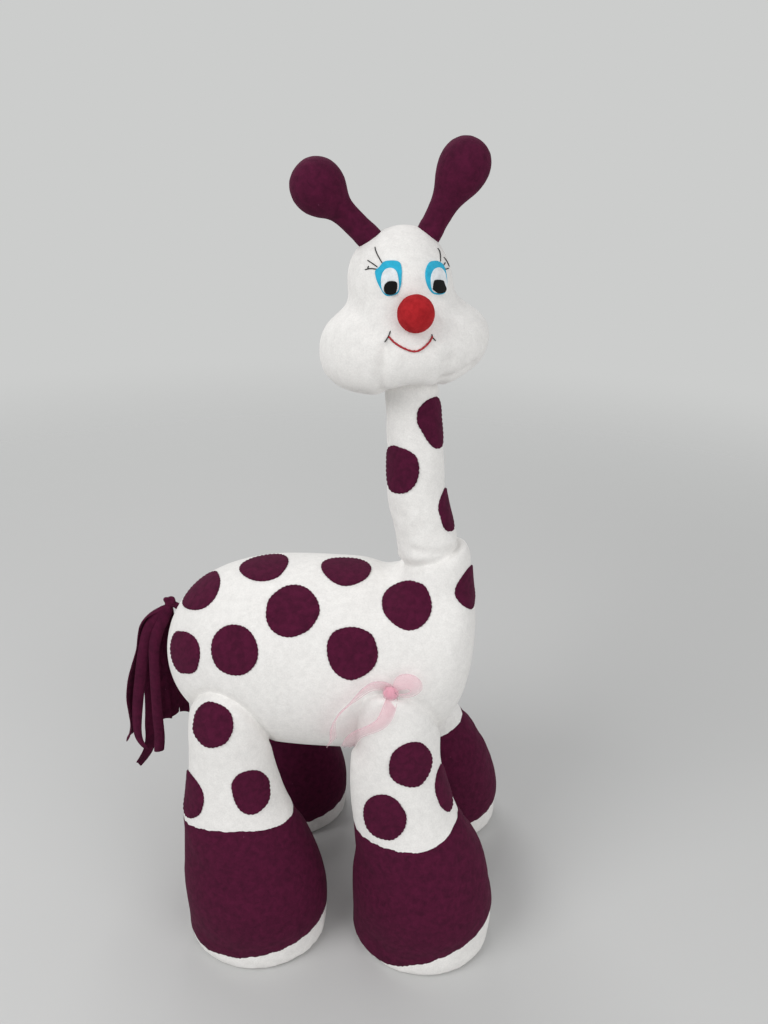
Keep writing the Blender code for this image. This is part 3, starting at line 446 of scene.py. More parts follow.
def heading(path, i):
    """The way that a line of points runs at one of them."""
    return (path[min(i + 1, len(path) - 1)] - path[max(i - 1, 0)]).normalized()


rows = eased(NECK_ROWS, 4)
spine = [NECK_FOOT + Vector((-NECK_LEAN * lean, 0, NECK_LENGTH * rise)) for rise, lean, _ in rows]
rings = []
for i, (_, _, size) in enumerate(rows):
    rings.append(oval(
        spine[i], ASIDE, heading(spine, i).cross(ASIDE), size * NECK_RADIUS, size * NECK_RADIUS, 32))
neck = sewn_form("neck_fleece", rings)
stuff(neck, FLEECE_SWELL, lambda points: (points[:, 2] < NECK_FOOT.z) * 1.0
      + (points[:, 2] > NECK_FOOT.z + NECK_HELD_FROM), voxel=0.0045)


def draw_seam(piece, other, depth, width, banks):
    """Draws two stuffed pieces in along the line where one is sewn to the other.

    banks gives how high a bank rises on each of them."""
    for obj, beside, bank in zip((piece, other), (surface_of(other), surface_of(piece)), banks):
        far = np.array([beside.find_nearest(Vector(point))[3] for point in read_points(obj.data)])
        draw_in(obj, far, depth, width, bank)


draw_seam(neck, torso, *NECK_SEAM)
fold = []
for turn, up in NECK_FOLD:
    turn = math.radians(turn)
    fold.append(NECK_FOOT + Vector((NECK_RADIUS * math.cos(turn), -NECK_RADIUS * math.sin(turn), up)))
press_fold(neck, fold, *NECK_FOLD_SIZE)
neck.data.materials.append(white_fleece)
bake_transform(neck)
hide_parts("neck_cover", "neck_stuffing")

# The head is a pear of white fleece with full cheeks, gathered at the chin round the neck and
# packed hard. It is sewn on sideways, so that the face looks at whoever stands beside the toy.
HEAD_PLACE = MIDLINE + Vector((0.0775, -0.006, 0.5485))
HEAD_HEIGHT = 0.13
HEAD_DEPTH = 0.112
HEAD_TURN = 10.0
HEAD_TILT = 5.0
# rise from the chin, reach to its right cheek and to its left, and half its depth, in millimetres
HEAD_ROWS = (
    (-1.0, 10.0, 4.0, 4.0), (3.0, 34.0, 22.0, 24.0), (7.0, 53.0, 32.0, 34.0), (14.0, 65.0, 46.5, 45.0),
    (23.0, 71.7, 59.5, 51.5), (33.0, 74.3, 65.8, 55.0), (43.0, 74.0, 68.0, 56.0), (53.0, 71.5, 66.6, 55.0),
    (62.0, 66.0, 60.6, 53.0), (69.0, 57.0, 51.0, 51.0), (75.5, 48.2, 42.6, 49.0), (82.0, 46.3, 39.3, 47.5),
    (91.0, 46.7, 38.9, 45.5), (101.0, 45.7, 37.0, 43.0), (111.0, 42.0, 33.2, 38.0), (119.0, 36.0, 28.0, 32.0),
    (126.0, 26.0, 21.0, 24.0), (131.0, 14.0, 13.0, 14.0), (133.5, 4.0, 4.0, 4.0),
)
# the folds that part the cheeks from the chin: across from the face's middle, and up
CHEEK_FOLDS = (
    (((-0.0225, 0.05), (-0.0258, 0.038), (-0.028, 0.028), (-0.028, 0.019), (-0.0262, 0.011)), 0.0032, 0.0042),
    (((0.026, 0.034), (0.0235, 0.026), (0.0215, 0.018), (0.021, 0.01)), 0.003, 0.0055),
    (((0.0225, 0.0155), (0.0295, 0.0175), (0.039, 0.0205), (0.048, 0.024)), 0.003, 0.0055),
    (((-0.0415, 0.074), (-0.036, 0.067), (-0.030, 0.059)), 0.0015, 0.006),
    (((0.0375, 0.073), (0.031, 0.067)), 0.0012, 0.006),
)
# how high the gathers round the neck hold the cloth, how far they pull the chin up, and how far that
# reaches beside the neck, in front of it and up the face
CHIN_HEM = 0.008
CHIN_LIFT = 0.0095
CHIN_ASIDE = -0.002
CHIN_REACH = (0.026, 0.052, 0.024)

to_head = (
    Matrix.Translation(HEAD_PLACE + UP * HEAD_HEIGHT / 2) @ Matrix.Rotation(math.radians(HEAD_TURN), 4, "Z")
    @ Matrix.Rotation(math.radians(-HEAD_TILT), 4, "Y") @ Matrix.Translation(-UP * HEAD_HEIGHT / 2))
head_way = to_head.to_3x3()
rings = []
for rise, right_reach, left_reach, deep in eased(HEAD_ROWS, 3):
    centre = Vector(((left_reach - right_reach) / 2, 0, rise)) / 1000
    half_width = (left_reach + right_reach) / 2000
    rings.append([to_head @ point for point in oval(centre, FORWARD, ASIDE, half_width, deep / 1000, 48)])
head = sewn_form("head_fleece", rings)
stuff(
    head, FLEECE_SWELL, lambda points: np.exp(-((points[:, 2] - HEAD_PLACE.z) / CHIN_HEM) ** 2), voxel=0.004)
points = read_points(head.data)
neck_top = NECK_FOOT + Vector((-NECK_LEAN, 0, NECK_LENGTH))
away = (points - np.array((neck_top.x + CHIN_ASIDE, neck_top.y, HEAD_PLACE.z))) / np.array(CHIN_REACH)
points[:, 2] += CHIN_LIFT * np.exp(-np.hypot(away[:, 0], away[:, 1]) ** 6 - away[:, 2] ** 2)
write_points(head.data, points)


def face_place(tree, across, up):
    """A place on the face, so far across and up it, and the way that the cloth faces there."""
    return tree.ray_cast(to_head @ Vector((across, -HEAD_DEPTH, up)), head_way @ ASIDE)[:2]


head_surface = surface_of(head)
for fold, depth, width in CHEEK_FOLDS:
    press_fold(head, [face_place(head_surface, *point)[0] for point in fold], depth, width)
head_surface = surface_of(head)
head.data.materials.append(white_fleece)
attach(head, "head")
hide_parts("head_cover", "head_stuffing")

# Each horn is a short stem with a round club, cut from plum fleece, turned, stuffed through its
# open foot and sewn to the crown by hand.
# The plum fleece's colour, and a darker copy mixed in by random clumps as painted shade
PLUM_LIT = "#510f30"
PLUM_PAINTED_SHADE = "#3f0b26"
PLUM_LINT = "#783a58"
HORN_SWELL = 0.001
# how far the stem's foot goes down into the head, and how far from there the seam holds its cloth
HORN_ROOT = 0.01
HORN_HELD = 0.012
# the foot's place across the head, the lean from the head's upright, then how far up the horn and
# how thick it is there, in millimetres
HORNS = (
    ("left", -0.0255, -42.5, (
        (-12, 10), (0, 10.7), (14, 10.7), (25, 10.9), (31, 12.3), (36, 16), (43, 20), (52, 21.9),
        (61.5, 20.2), (69, 15), (73.3, 8.3), (74.6, 0))),
    ("right", 0.0215, 32.5, (
        (-12, 10), (0, 10.7), (14, 11), (26, 12.4), (34, 15.4), (43, 19.2), (54, 20.8), (64, 18.8),
        (71, 13.8), (74.8, 7.5), (76.2, 0))),
)

plum_fleece = fleece("plum_anti_pill_fleece", PLUM_LIT, PLUM_PAINTED_SHADE, PLUM_LINT, 0.18)
for side, across_head, horn_lean, rows in HORNS:
    foot = head_surface.ray_cast(to_head @ Vector((across_head, 0, HEAD_HEIGHT * 2)), head_way @ -UP)[0]
    across = head_way @ -ASIDE
    axis = Matrix.Rotation(math.radians(-horn_lean), 3, across) @ (head_way @ UP)
    rings = [
        oval(foot + axis * (along / 1000), across, axis.cross(across), size / 1000, size / 1000, 36)
        for along, size in eased(rows, 3, None, (1, -1))
    ]
    horn = sewn_form(f"horn_{side}_fleece", rings)
    stem = [foot - axis * HORN_ROOT, foot]
    stuff(horn, HORN_SWELL, lambda points: (away_from(points, stem) < HORN_HELD) * 1.0, voxel=0.003)
    horn.data.materials.append(plum_fleece)
    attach(horn, f"horn_{side}")
    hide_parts(f"horn_{side}_cover", f"horn_{side}_stuffing")

# Each leg is one stuffed form in three cloths: white fleece down to a slanting seam, plum fleece
# for the hoof, and a white sole that turns up round the hoof's edge. The sole stands flat.
HIP_Z = 0.2255
HIP_Y = 0.0615
SEAM_Z = 0.14
LEG_LENGTH = 0.143
LEG_WIDTH = 0.12
LEG_OUTER_Y = 0.142
TOE_REACH = 0.025
# height over the hip's height, length over the half length, width over the half width,
# outer side over its furthest reach, forward shift over the toe's reach
LEG_ROWS = (
    (0.0, 0.91, 0.92, 0.975, 1.0), (0.0266, 0.985, 0.99, 1.0, 1.0), (0.12, 0.99, 0.99, 0.99, 1.0),
    (0.21, 1.0, 1.0, 1.0, 1.0), (0.33, 0.965, 0.97, 0.98, 0.86), (0.47, 0.86, 0.86, 0.91, 0.66),
    (0.6208, 0.725, 0.68, 0.84, 0.38), (0.72, 0.635, 0.61, 0.785, 0.2), (0.912, 0.575, 0.56, 0.735, 0.02),
)
# how much fuller each pair's cloth is behind and ahead of those rows, in millimetres
REAR_FULLNESS = ((1, 0), (2, 0), (2, 0), (2, 0), (3, 1.5), (5, 2.5), (5.5, 4), (4.5, 3.5), (0, 1.5))
FRONT_FULLNESS = ((-4, 5), (-4, 5), (-4, 5), (-4, 5), (-4, 7), (-4, 11), (0, 11), (5, 7.5), (6, 3))
# each pair's top, where it is sewn to the torso: how far over the hip and behind it, and half its
# length and width there, in millimetres
REAR_TOP = ((2, 0, 41.5, 41.5), (28, 0, 36, 36), (48.5, 0, 20.8, 20.8), (56, 0, 0, 0))
FRONT_TOP = (
    (2, 0, 42, 41.5), (28, 4.4, 42.3, 37), (44, 8, 41, 34), (55, 10.5, 37.3, 32.5), (62, 12, 29.3, 31),
    (67, 12.6, 19.3, 27), (71, 12.6, 0, 0),
)
# how deep the seam round each hip draws the cloth in, over what width, and the banks it leaves
HIP_SEAM = (0.0019, 0.0036, (0.15, 0.0))
# the hoof's two seams: which row the upper one lies by, how wide a band they hold, how deep each
# draws the cloth in and over what width, and how low the sole's may come
SEAM_ROW = 6
SEAM_HOLD = 0.0035
HOOF_SEAM_DEPTH, RIM_SEAM_DEPTH = 0.0008, 0.0012
LEG_SEAM_WIDTH = 0.003
RIM_LOWEST = 0.004
# how far up the table holds the sole, and how far over the table it lies
SOLE_HOLD = 0.006
SOLE_STAND = 0.0002
# the hip's place along the torso, the leg's side, how far its hoof stands ahead and out; how far
# the hoof's seam rises from heel to toe, sweeps up at the toe and lifts on the outer side; and the
# rim's height and its rise from heel to toe
LEGS = (
    ("rear_right", -0.078, -1, 0.0, 0.008, 0.006, 0.0, 0.012, 0.0155, 0.009),
    ("front_right", 0.084, -1, 0.0, 0.0, 0.0, 0.026, 0.0, 0.0125, 0.02),
    ("rear_left", -0.078, 1, 0.0, -0.008, 0.008, 0.004, 0.004, 0.018, 0.006),
    ("front_left", 0.084, 1, 0.014, 0.0, 0.004, 0.014, 0.0, 0.016, 0.01),
)


def parted(whole, name, seam, above):
    """The part of a cover on one side of a seam whose height changes from place to place, closed."""
    bm = bmesh.new()
    bm.from_mesh(whole.data)
    for vert in bm.verts:
        vert.co.z -= seam(vert.co.x, vert.co.y)
    cut = bmesh.ops.bisect_plane(
        bm, geom=bm.verts[:] + bm.edges[:] + bm.faces[:], plane_co=(0, 0, 0), plane_no=(0, 0, 1),
        clear_inner=above, clear_outer=not above, dist=1e-6)
    edges = [part for part in cut["geom_cut"] if isinstance(part, bmesh.types.BMEdge)]
    bmesh.ops.holes_fill(bm, edges=edges, sides=0)
    for edge in edges:
        edge.smooth = False
    for vert in bm.verts:
        vert.co.z += seam(vert.co.x, vert.co.y)
    return in_scene(name, bm)


leg_surfaces = {}
for name, hip_x, side, lead, splay, slant, sweep, lift, rim_middle, rim_slant in LEGS:
    hip = MIDLINE + Vector((hip_x, side * HIP_Y, HIP_Z))
    rows = []
    fullness = REAR_FULLNESS if hip_x < 0 else FRONT_FULLNESS
    for (height, long_share, wide_share, outer_share, toe_share), (behind, before) in zip(LEG_ROWS, fullness):
        half_width = LEG_WIDTH / 2 * wide_share
        rows.append((
            MIDLINE.x + hip_x + (TOE_REACH + lead) * toe_share + (before - behind) / 2000,
            MIDLINE.y + side * (LEG_OUTER_Y * outer_share - half_width + splay * toe_share),
            HIP_Z * height, LEG_LENGTH / 2 * long_share + (before + behind) / 2000, half_width))
    for above, behind, half_length, half_width in REAR_TOP if hip_x < 0 else FRONT_TOP:
        rows.append((
            hip.x - behind / 1000, hip.y, hip.z + above / 1000, half_length / 1000, half_width / 1000))
    rings = [
        oval(Vector((x, y, z)), FORWARD, ASIDE, half_length, half_width)
        for x, y, z, half_length, half_width in eased(rows, 4, None, (1, 1, 1, -1, -1))
    ]
    whole = sewn_form(f"{name}_whole", rings)
    middle_x, middle_y, _, seam_half_length, seam_half_width = rows[SEAM_ROW]

    def hoof_seam(x, y):
        """The height of the seam between the white and the plum cloth, sewn by hand."""
        toe = (x - middle_x) / seam_half_length
        outer = side * (y - middle_y) / seam_half_width
        wander = 0.0003 * math.sin(x * 1900 + y * 700) + 0.0005 * math.sin(x * 310 - y * 520)
        return SEAM_Z + slant * toe / 2 + sweep * max(toe, 0) ** 2.5 + lift * max(outer, 0) ** 2 + wander

    def rim_seam(x, y):
        """The height of the seam that joins the sole, drawn in stitch by stitch."""
        height = rim_middle + rim_slant * (x - middle_x) / seam_half_length
        return (max(height, RIM_LOWEST) + 0.0005 * math.sin(x * 1700 + y * 1500)
                + 0.0006 * math.sin(x * 260 + y * 340))

    def over_seam(points, seam):
        """How far each point lies over a seam."""
        return points[:, 2] - np.array([seam(x, y) for x, y, _ in points])

    def held(points):
        """The seams hold the cloth in, and the table holds the sole flat."""
        found = np.zeros(len(points))
        for seam in (hoof_seam, rim_seam):
            found = np.maximum(found, np.exp(-(over_seam(points, seam) / SEAM_HOLD) ** 2))
        return np.where(points[:, 2] < SOLE_HOLD, 1.0, found)

    stuff(whole, FLEECE_SWELL, held)
    points = read_points(whole.data)
    points[:, 2] = np.maximum(points[:, 2], SOLE_STAND)
    write_points(whole.data, points)
    for seam, depth in ((hoof_seam, HOOF_SEAM_DEPTH), (rim_seam, RIM_SEAM_DEPTH)):
        draw_in(whole, over_seam(read_points(whole.data), seam), depth, LEG_SEAM_WIDTH, 0.0)
    draw_seam(whole, torso, *HIP_SEAM)
    leg_surfaces[name] = surface_of(whole)
    upper = parted(whole, f"{name}_leg_fleece", hoof_seam, above=True)
    lower = parted(whole, f"{name}_lower", hoof_seam, above=False)
    hoof = parted(lower, f"{name}_hoof_fleece", rim_seam, above=True)
    sole = parted(lower, f"{name}_sole_fleece", rim_seam, above=False)
    bpy.data.objects.remove(whole)
    bpy.data.objects.remove(lower)
    for piece, cloth, slot, nodes in (
        (upper, white_fleece, "white_fleece", (f"{name}_leg_cover", f"{name}_leg_stuffing")),
        (hoof, plum_fleece, "plum_fleece", (f"{name}_hoof_cover",)),
        (sole, white_fleece, "white_fleece", (f"{name}_sole",)),
    ):
        piece.data.materials.append(cloth)
        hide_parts(*nodes)
    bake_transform(upper)
    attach(hoof, f"{name}_leg")
    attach(sole, f"{name}_leg")

# The nose is a ball of red fleece, cut as a round, gathered by hand over a pinch of fibre and sewn
# flat to the face by its open side.
NOSE_RADIUS = 0.0143
NOSE_STAND = 0.008
NOSE_PLACE = (0.001, 0.567 * HEAD_HEIGHT)
NOSE_SIDES = 36
# how many gathers draw the ball shut, how deep they are, and how much narrower it is at its seat
NOSE_GATHERS = 9
GATHER_DEPTH = 0.03
SEAT_TUCK = 0.06
# The red fleece's colour, and a darker copy mixed in by random clumps as painted shade
RED_LIT = "#b3242a"
RED_PAINTED_SHADE = "#97191f"
RED_LINT = "#cf7a78"

red_fleece = fleece("red_anti_pill_fleece", RED_LIT, RED_PAINTED_SHADE, RED_LINT, 0.3)
seat, _ = face_place(head_surface, *NOSE_PLACE)
out = head_way @ -ASIDE
across = head_way @ FORWARD
rings = []
for turn in range(-50, 91, 10):
    angle = math.radians(turn)
    reach = NOSE_RADIUS * math.cos(angle) * (1 - SEAT_TUCK * max(-turn, 0) / 50)
    centre = seat + out * (NOSE_STAND + NOSE_RADIUS * math.sin(angle))
    ring = oval(centre, across, out.cross(across), reach, reach, NOSE_SIDES)
    if len(ring) > 1:
        gather = GATHER_DEPTH * max(0.0, (10 - turn) / 60)
        ring = [
            centre + (point - centre) * (1 + gather * math.cos(NOSE_GATHERS * i * 2 * math.pi / NOSE_SIDES))
            for i, point in enumerate(ring)
        ]
    rings.append(ring)
nose = sewn_form("nose_fleece", rings)
subdivide(nose)
nose.data.materials.append(red_fleece)
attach(nose, "head")
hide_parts("nose_cover", "nose_stuffing")

# Each spot is cut freehand from plum fleece and laid on the finished cloth. Plum thread whips its
# edge down and draws it in a little at each stitch. Those on the far side, which the photograph
# doesn't show, are guessed and plain.
SPOT_THICKNESS = 0.0017
STITCH_STEP = 0.0042
# how far a stitch draws the edge in and presses it down, and how far from the edge that reaches
STITCH_DRAW = 0.018
STITCH_PRESS = 0.45
STITCH_REACH = 0.2
# a cut piece's section: place from its middle to its edge, and height over its thickness
CUT_SECTION = (
    (0, 1), (0.35, 1), (0.65, 1), (0.84, 1), (0.93, 1.03), (0.975, 0.88), (0.995, 0.55), (1, 0.2),
    (0.985, -0.15), (0.7, -0.15), (0, -0.15),
)
# for the torso: place along its half length, degrees round from the back to the near side, and how
# far the cut goes from there in millimetres, from the front over the top and all the way round
TORSO_SPOTS = (
    (-0.721, 13.8, (22.8, 21.3, 21.8, 24.5, 25.5, 25, 25, 26, 27, 24, 22, 22, 24, 26.5, 27, 25)),
    (-0.33, 4.4, (22.8, 23.8, 25.5, 27, 26.5, 26, 26, 26.5, 24.8, 22, 20.5, 20.5, 21.5, 23, 24, 22.8)),
    (0.184, 6.2, (22.8, 24.8, 25.5, 25, 24.5, 25, 26, 26, 23.5, 21, 20, 20.5, 21.5, 21.5, 21.3, 22)),
    (-0.094, 36.1, (24.3, 24, 23.8, 25, 26, 26.3, 25.5, 25.8, 24.8, 25.3, 25.3, 24.5, 23.5, 22.5, 22.8, 23)),
    (0.577, 27.5, (21.5, 21, 21, 19.8, 21.3, 23.8, 25.5, 25.3, 24, 23.3, 22.8, 23.5, 24.8, 24.5, 23.3, 22.3)),
    (-0.775, 66.1, (21.5, 22, 21, 19.3, 18.8, 19.5, 23.3, 25, 25.5, 25, 24.5, 23.3, 20.5, 21, 21.8, 21)),
    (-0.425, 60.1, (22.5, 22, 22, 22.3, 22.5, 23.3, 24, 24.5, 24.3, 24.5, 25, 24, 23.3, 23.3, 23, 23)),
    (0.269, 57.6, (23.3, 23, 24, 23, 22.8, 23.3, 24.8, 24, 22.3, 22, 22.8, 23.8, 24.5, 23, 22.8, 23.3)),
    (0.95, 8.0, (14, 16, 18, 20, 21, 22, 22, 22, 23, 24, 25, 25, 25, 22, 18, 15)),
)
# for the neck: place up it, and degrees round from the near side to the front
NECK_SPOTS = (
    (0.87, 48.0, (15, 16.5, 18.5, 20.5, 20, 20, 18.8, 16, 14.3, 13.3, 14.3, 18, 24.3, 26.5, 21.8, 17)),
    (0.607, -40.0, (16.5, 17, 18.8, 19, 18.5, 19.8, 20.5, 20.5, 19, 20, 23, 26, 24.3, 22.8, 20, 17.5)),
    (0.363, 72.0, (14, 14.5, 15, 15, 15, 14, 13.8, 14, 14.5, 15.3, 19, 24.3, 25.5, 22, 18, 15)),
)
# for the legs: height over the hip's, and degrees round from the outer side to the front
LEG_SPOTS = {
    "rear_right": (
        (1.123, -10.0, (
            18.3, 19, 20.5, 21, 21.5, 23, 22.8, 22.5, 21.8, 23.3, 21.8, 21.3, 19.8, 18.5, 18.5, 17.8)),
        (0.747, -48.0, (20.8, 22.3, 25, 26, 25.5, 24, 22, 20, 19, 19, 20, 22, 23, 22.5, 21.5, 21.3)),
        (0.806, 35.0, (
            18, 19.8, 21.3, 24, 26, 26.8, 23.8, 18.8, 16.8, 16.5, 17.8, 19, 19.3, 18.8, 19.3, 18.8)),
    ),
    "front_right": (
        (1.0, 20.4, (
            21.8, 21.5, 22.3, 24.8, 25.8, 25, 23.3, 20.8, 19.8, 20.5, 20.3, 19.8, 21, 22.5, 21.5, 21.5)),
        (0.758, -10.0, (
            19.8, 20.3, 20.8, 23.8, 25.8, 25, 23.3, 22.3, 22, 23, 24.5, 23.8, 22.5, 22.3, 21, 20.3)),
        (0.83, 62.0, (18, 19, 22, 25, 23.3, 17.8, 13.3, 10.8, 9.8, 10, 12.5, 16.8, 24, 25, 23, 19)),
    ),
}
FAR_TORSO_SPOTS = (
    (-0.62, -54.0), (-0.14, -52.0), (0.33, -57.0), (-0.84, -90.0), (-0.33, -84.0), (0.05, -101.0),
    (0.78, -80.0),
)
FAR_LEG_SPOTS = {"rear_left": ((1.06, 12.0), (0.77, -20.0)), "front_left": ((0.98, -8.0), (0.78, 30.0))}
# how far a guessed cut goes in millimetres, how much the scissors slip, and the legs' first draw
FAR_SPOT_REACH = 22.5
SCISSOR_SLIP = 1.1
FAR_LEG_DRAW = 20


def cut_line(reaches, steps=8):
    """The line that scissors follow round a place, from lengths all round it.

    It lies halfway between straight cuts and a smooth curve."""
    found = []
    for i, around in enumerate(reaches):
        before, after, beyond = (reaches[(i + j) % len(reaches)] for j in (-1, 1, 2))
        for t in (k / steps for k in range(steps)):
            reach = curve(before, around, after, beyond, t) + around + (after - around) * t
            turn = 2 * math.pi * (i + t) / len(reaches)
            found.append(Vector((math.cos(turn), math.sin(turn))) * reach / 2000)
    return found


def laid_cloth(name, outline, land, thickness, stitch=None):
    """A piece of cloth cut flat and laid on a surface, its cut edge soft and its back closed.

    land gives the place under a point of the flat piece, and the way that the surface faces there.
    stitch is the length from one stitch round the edge to the next."""
    middle = sum(outline, Vector((0, 0))) / len(outline)
    runs = [0.0]
    for point, after in zip(outline, outline[1:] + outline[:1]):
        runs.append(runs[-1] + (after - point).length)
    pulls = round(runs[-1] / stitch) if stitch else 0
    rings = []
    for share, rise in CUT_SECTION:
        near_edge = max(0, (share - (1 - STITCH_REACH)) / STITCH_REACH)
        ring = []
        for point, run in zip(outline, runs):
            pull = abs(math.cos(math.pi * pulls * run / runs[-1])) ** 5 * near_edge if pulls else 0
            place, out = land(middle + (point - middle) * (share * (1 - STITCH_DRAW * pull)))
            ring.append(place + out * (thickness * rise * (1 - STITCH_PRESS * pull * (rise > 0))))
            if share == 0:
                break
        rings.append(ring)
    return sewn_form(name, rings)


def sew_spot(name, surface, inside, way, upright, reaches):
    """A spot laid where a line from inside a piece comes out through its surface."""
    place, out, _, _ = surface.ray_cast(inside, way)
    across = upright.cross(out).normalized()
    above = out.cross(across)

    def land(point):
        """The place on the piece under a point of the spot, or the nearest where none is under it."""
        flat = place + across * point.x + above * point.y
        hit, facing, _, _ = surface.ray_cast(flat + out * 0.03, -out)
        if hit is None:
            hit, facing, _, _ = surface.find_nearest(flat - out * 0.01)
        return hit, facing

    spot = laid_cloth(name, cut_line(reaches), land, SPOT_THICKNESS, STITCH_STEP)
    spot.data.materials.append(plum_fleece)
    return spot


def guessed_reaches(seed):
    """The lengths of a spot that nobody has seen: about round, as a hand cuts it."""
    slips = np.random.default_rng(seed).normal(0, SCISSOR_SLIP, 16)
    return [FAR_SPOT_REACH + float(slip) for slip in (slips + np.roll(slips, 1) + np.roll(slips, 2)) / 2]


torso_surface = surface_of(torso)
neck_surface = surface_of(neck)
far_torso_spots = [(along, turn, guessed_reaches(i)) for i, (along, turn) in enumerate(FAR_TORSO_SPOTS)]
for number, (along, turn, reaches) in enumerate((*TORSO_SPOTS, *far_torso_spots), 1):
    turn = math.radians(turn)
    inside = MIDLINE + Vector((along * TORSO_LENGTH / 2, 0, TORSO_MIDDLE_Z))
    spot = sew_spot(
        f"torso_spot_{number}_fleece", torso_surface, inside, Vector((0, -math.sin(turn), math.cos(turn))),
        Vector((0, math.cos(turn), math.sin(turn))), reaches)
    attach(spot, "torso")
    if number <= len(TORSO_SPOTS):
        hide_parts(f"torso_spot_{number}")
for number, (rise, turn, reaches) in enumerate(NECK_SPOTS, 1):
    turn = math.radians(turn)
    inside = NECK_FOOT + Vector((-NECK_LEAN, 0, NECK_LENGTH)) * rise
    way = Vector((math.sin(turn), -math.cos(turn), 0))
    spot = sew_spot(f"neck_spot_{number}_fleece", neck_surface, inside, way, UP, reaches)
    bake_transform(spot)
    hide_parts(f"neck_spot_{number}")
for name, hip_x, side, *_ in LEGS:
    hip = MIDLINE + Vector((hip_x, side * HIP_Y, HIP_Z))
    seen = name in LEG_SPOTS
    for number, (rise, turn, *cut) in enumerate((LEG_SPOTS if seen else FAR_LEG_SPOTS)[name], 1):
        turn = math.radians(turn)
        reaches = cut[0] if seen else guessed_reaches(number + FAR_LEG_DRAW)
        spot = sew_spot(
            f"{name}_spot_{number}_fleece", leg_surfaces[name], hip + UP * (HIP_Z * (rise - 1)),
            Vector((math.sin(turn), side * math.cos(turn), 0)), UP, reaches)
        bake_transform(spot)
        if seen:
            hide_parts(f"{name}_spot_{number}")

# The eyes are three layers of pressed wool felt, cut freehand and glued one on the other: a blue
# shadow, a white and a black pupil that looks down at the nose. Felt is dense, flat and fibrous.
FELT_THICKNESS = 0.0009
# for each layer, its cut edge across and up the face, in millimetres
EYE_LAYERS = (
    ("left", "shadow", (
        (-21.7, 106.9), (-18.3, 110), (-13.8, 110.7), (-8.9, 110.2), (-6.5, 108.6), (-5.8, 104.9),
        (-6.4, 99.1), (-7.3, 94.1), (-9, 89.9), (-11.2, 87.2), (-17, 86.2), (-20, 87.3), (-22.3, 91.2),
        (-24.2, 95.6), (-25.2, 99.8), (-25.1, 104))),
    ("left", "white", (
        (-20, 102.3), (-17.6, 104.7), (-14.4, 105.6), (-11.4, 104.8), (-9.6, 102.6), (-8.9, 98.4),
        (-8.9, 93.3), (-9.9, 89.8), (-12.6, 87.9), (-17.9, 87.5), (-20.7, 89.8), (-21.5, 93.8),
        (-21.3, 98.1))),
    ("left", "pupil", (
        (-18.6, 94.6), (-16.2, 96.4), (-12.7, 96.5), (-10.3, 95.4), (-10.2, 91.7), (-11.4, 88.5),
        (-13.5, 87.1), (-17.3, 87.2), (-19.3, 88.9), (-19.5, 92.1))),
    ("right", "shadow", (
        (13.8, 104.9), (16.6, 107), (20.9, 107), (24.5, 105.8), (28, 102.6), (29.5, 96.7), (29.7, 90.6),
        (28.4, 85.4), (25.7, 82.8), (19.4, 83.5), (16, 85.4), (13.3, 89.3), (11.7, 94.7), (11.8, 100.6))),
    ("right", "white", (
        (16, 98.3), (18.4, 101.2), (21.7, 102.1), (24.8, 101.1), (27.3, 98.1), (28.3, 93.5), (28.4, 88.3),
        (27.4, 84.9), (25.1, 83.5), (19.5, 84.4), (16.2, 86.6), (15.2, 90.7), (15.2, 95))),
    ("right", "pupil", (
        (16.4, 91.4), (17.6, 93.8), (20.7, 93.8), (24.6, 92.4), (25.7, 89.4), (26.8, 86.1), (25.8, 83.8),
        (21.9, 83.5), (18.4, 85.2), (15.8, 87.9))),
)
FELT_COLOURS = {"shadow": "#2fafd2", "white": "#e2e7ea", "pupil": "#0a0a0b"}


def felt(name, colour):
    """Pressed wool felt: matted fibres that lie every way, dull, with no weave and a faint fuzz.

    The fibres are 0.03 mm thick; they are drawn as streaks of half a millimetre."""
    material, tree, shader, place = start_material(name)
    fibres = add_node(tree, "ShaderNodeTexNoise", {
        "Vector": place, "Scale": 1400.0, "Detail": 4.0, "Roughness": 0.7, "Distortion": 1.5})
    matted = add_node(tree, "ShaderNodeTexNoise", {"Vector": place, "Scale": 260.0, "Detail": 3.0})
    shade = add_node(tree, "ShaderNodeMapRange", {
        "Value": matted.outputs["Fac"], "From Min": 0.3, "From Max": 0.7, "To Min": 0.86, "To Max": 1.08})
    fleck = add_node(tree, "ShaderNodeMapRange", {
        "Value": fibres.outputs["Fac"], "From Min": 0.3, "From Max": 0.7, "To Min": 0.92, "To Max": 1.06})
    both = add_node(tree, "ShaderNodeMath", {
        0: shade.outputs["Result"], 1: fleck.outputs["Result"]}, operation="MULTIPLY")
    dyed = add_node(tree, "ShaderNodeVectorMath", {
        0: linear(colour)[:3], "Scale": both.outputs[0]}, operation="SCALE")
    bump = add_node(tree, "ShaderNodeBump", {
        "Height": fibres.outputs["Fac"], "Strength": 0.4, "Distance": 0.0003})
    connect(tree, shader, {
        "Base Color": dyed.outputs[0], "Normal": bump.outputs["Normal"], "Roughness": 0.95,
        "Specular IOR Level": 0.2, "Sheen Weight": 0.12})
    return material


def on_face(point):
    """The place on the head under a point of the face."""
    return face_place(head_surface, point.x, point.y)


felts = {layer: felt(f"{layer}_wool_felt", colour) for layer, colour in FELT_COLOURS.items()}
for side, layer, cut in EYE_LAYERS:
    points = [Vector(point) / 1000 for point in cut]
    edge = [Vector(row) for row in eased([*points, points[0]], 5)[:-1]]
    depth = 1 + list(FELT_COLOURS).index(layer)
    piece = laid_cloth(f"eye_{side}_{layer}_felt", edge, on_face, FELT_THICKNESS * depth)
    piece.data.materials.append(felts[layer])
    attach(piece, "head")
    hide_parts(f"eye_{side}_{layer}")

# The lashes are single stitches of black cotton thread, fanned above each eye's outer corner, and
# one more that ties two of them.
LASH_RADIUS = 0.00042
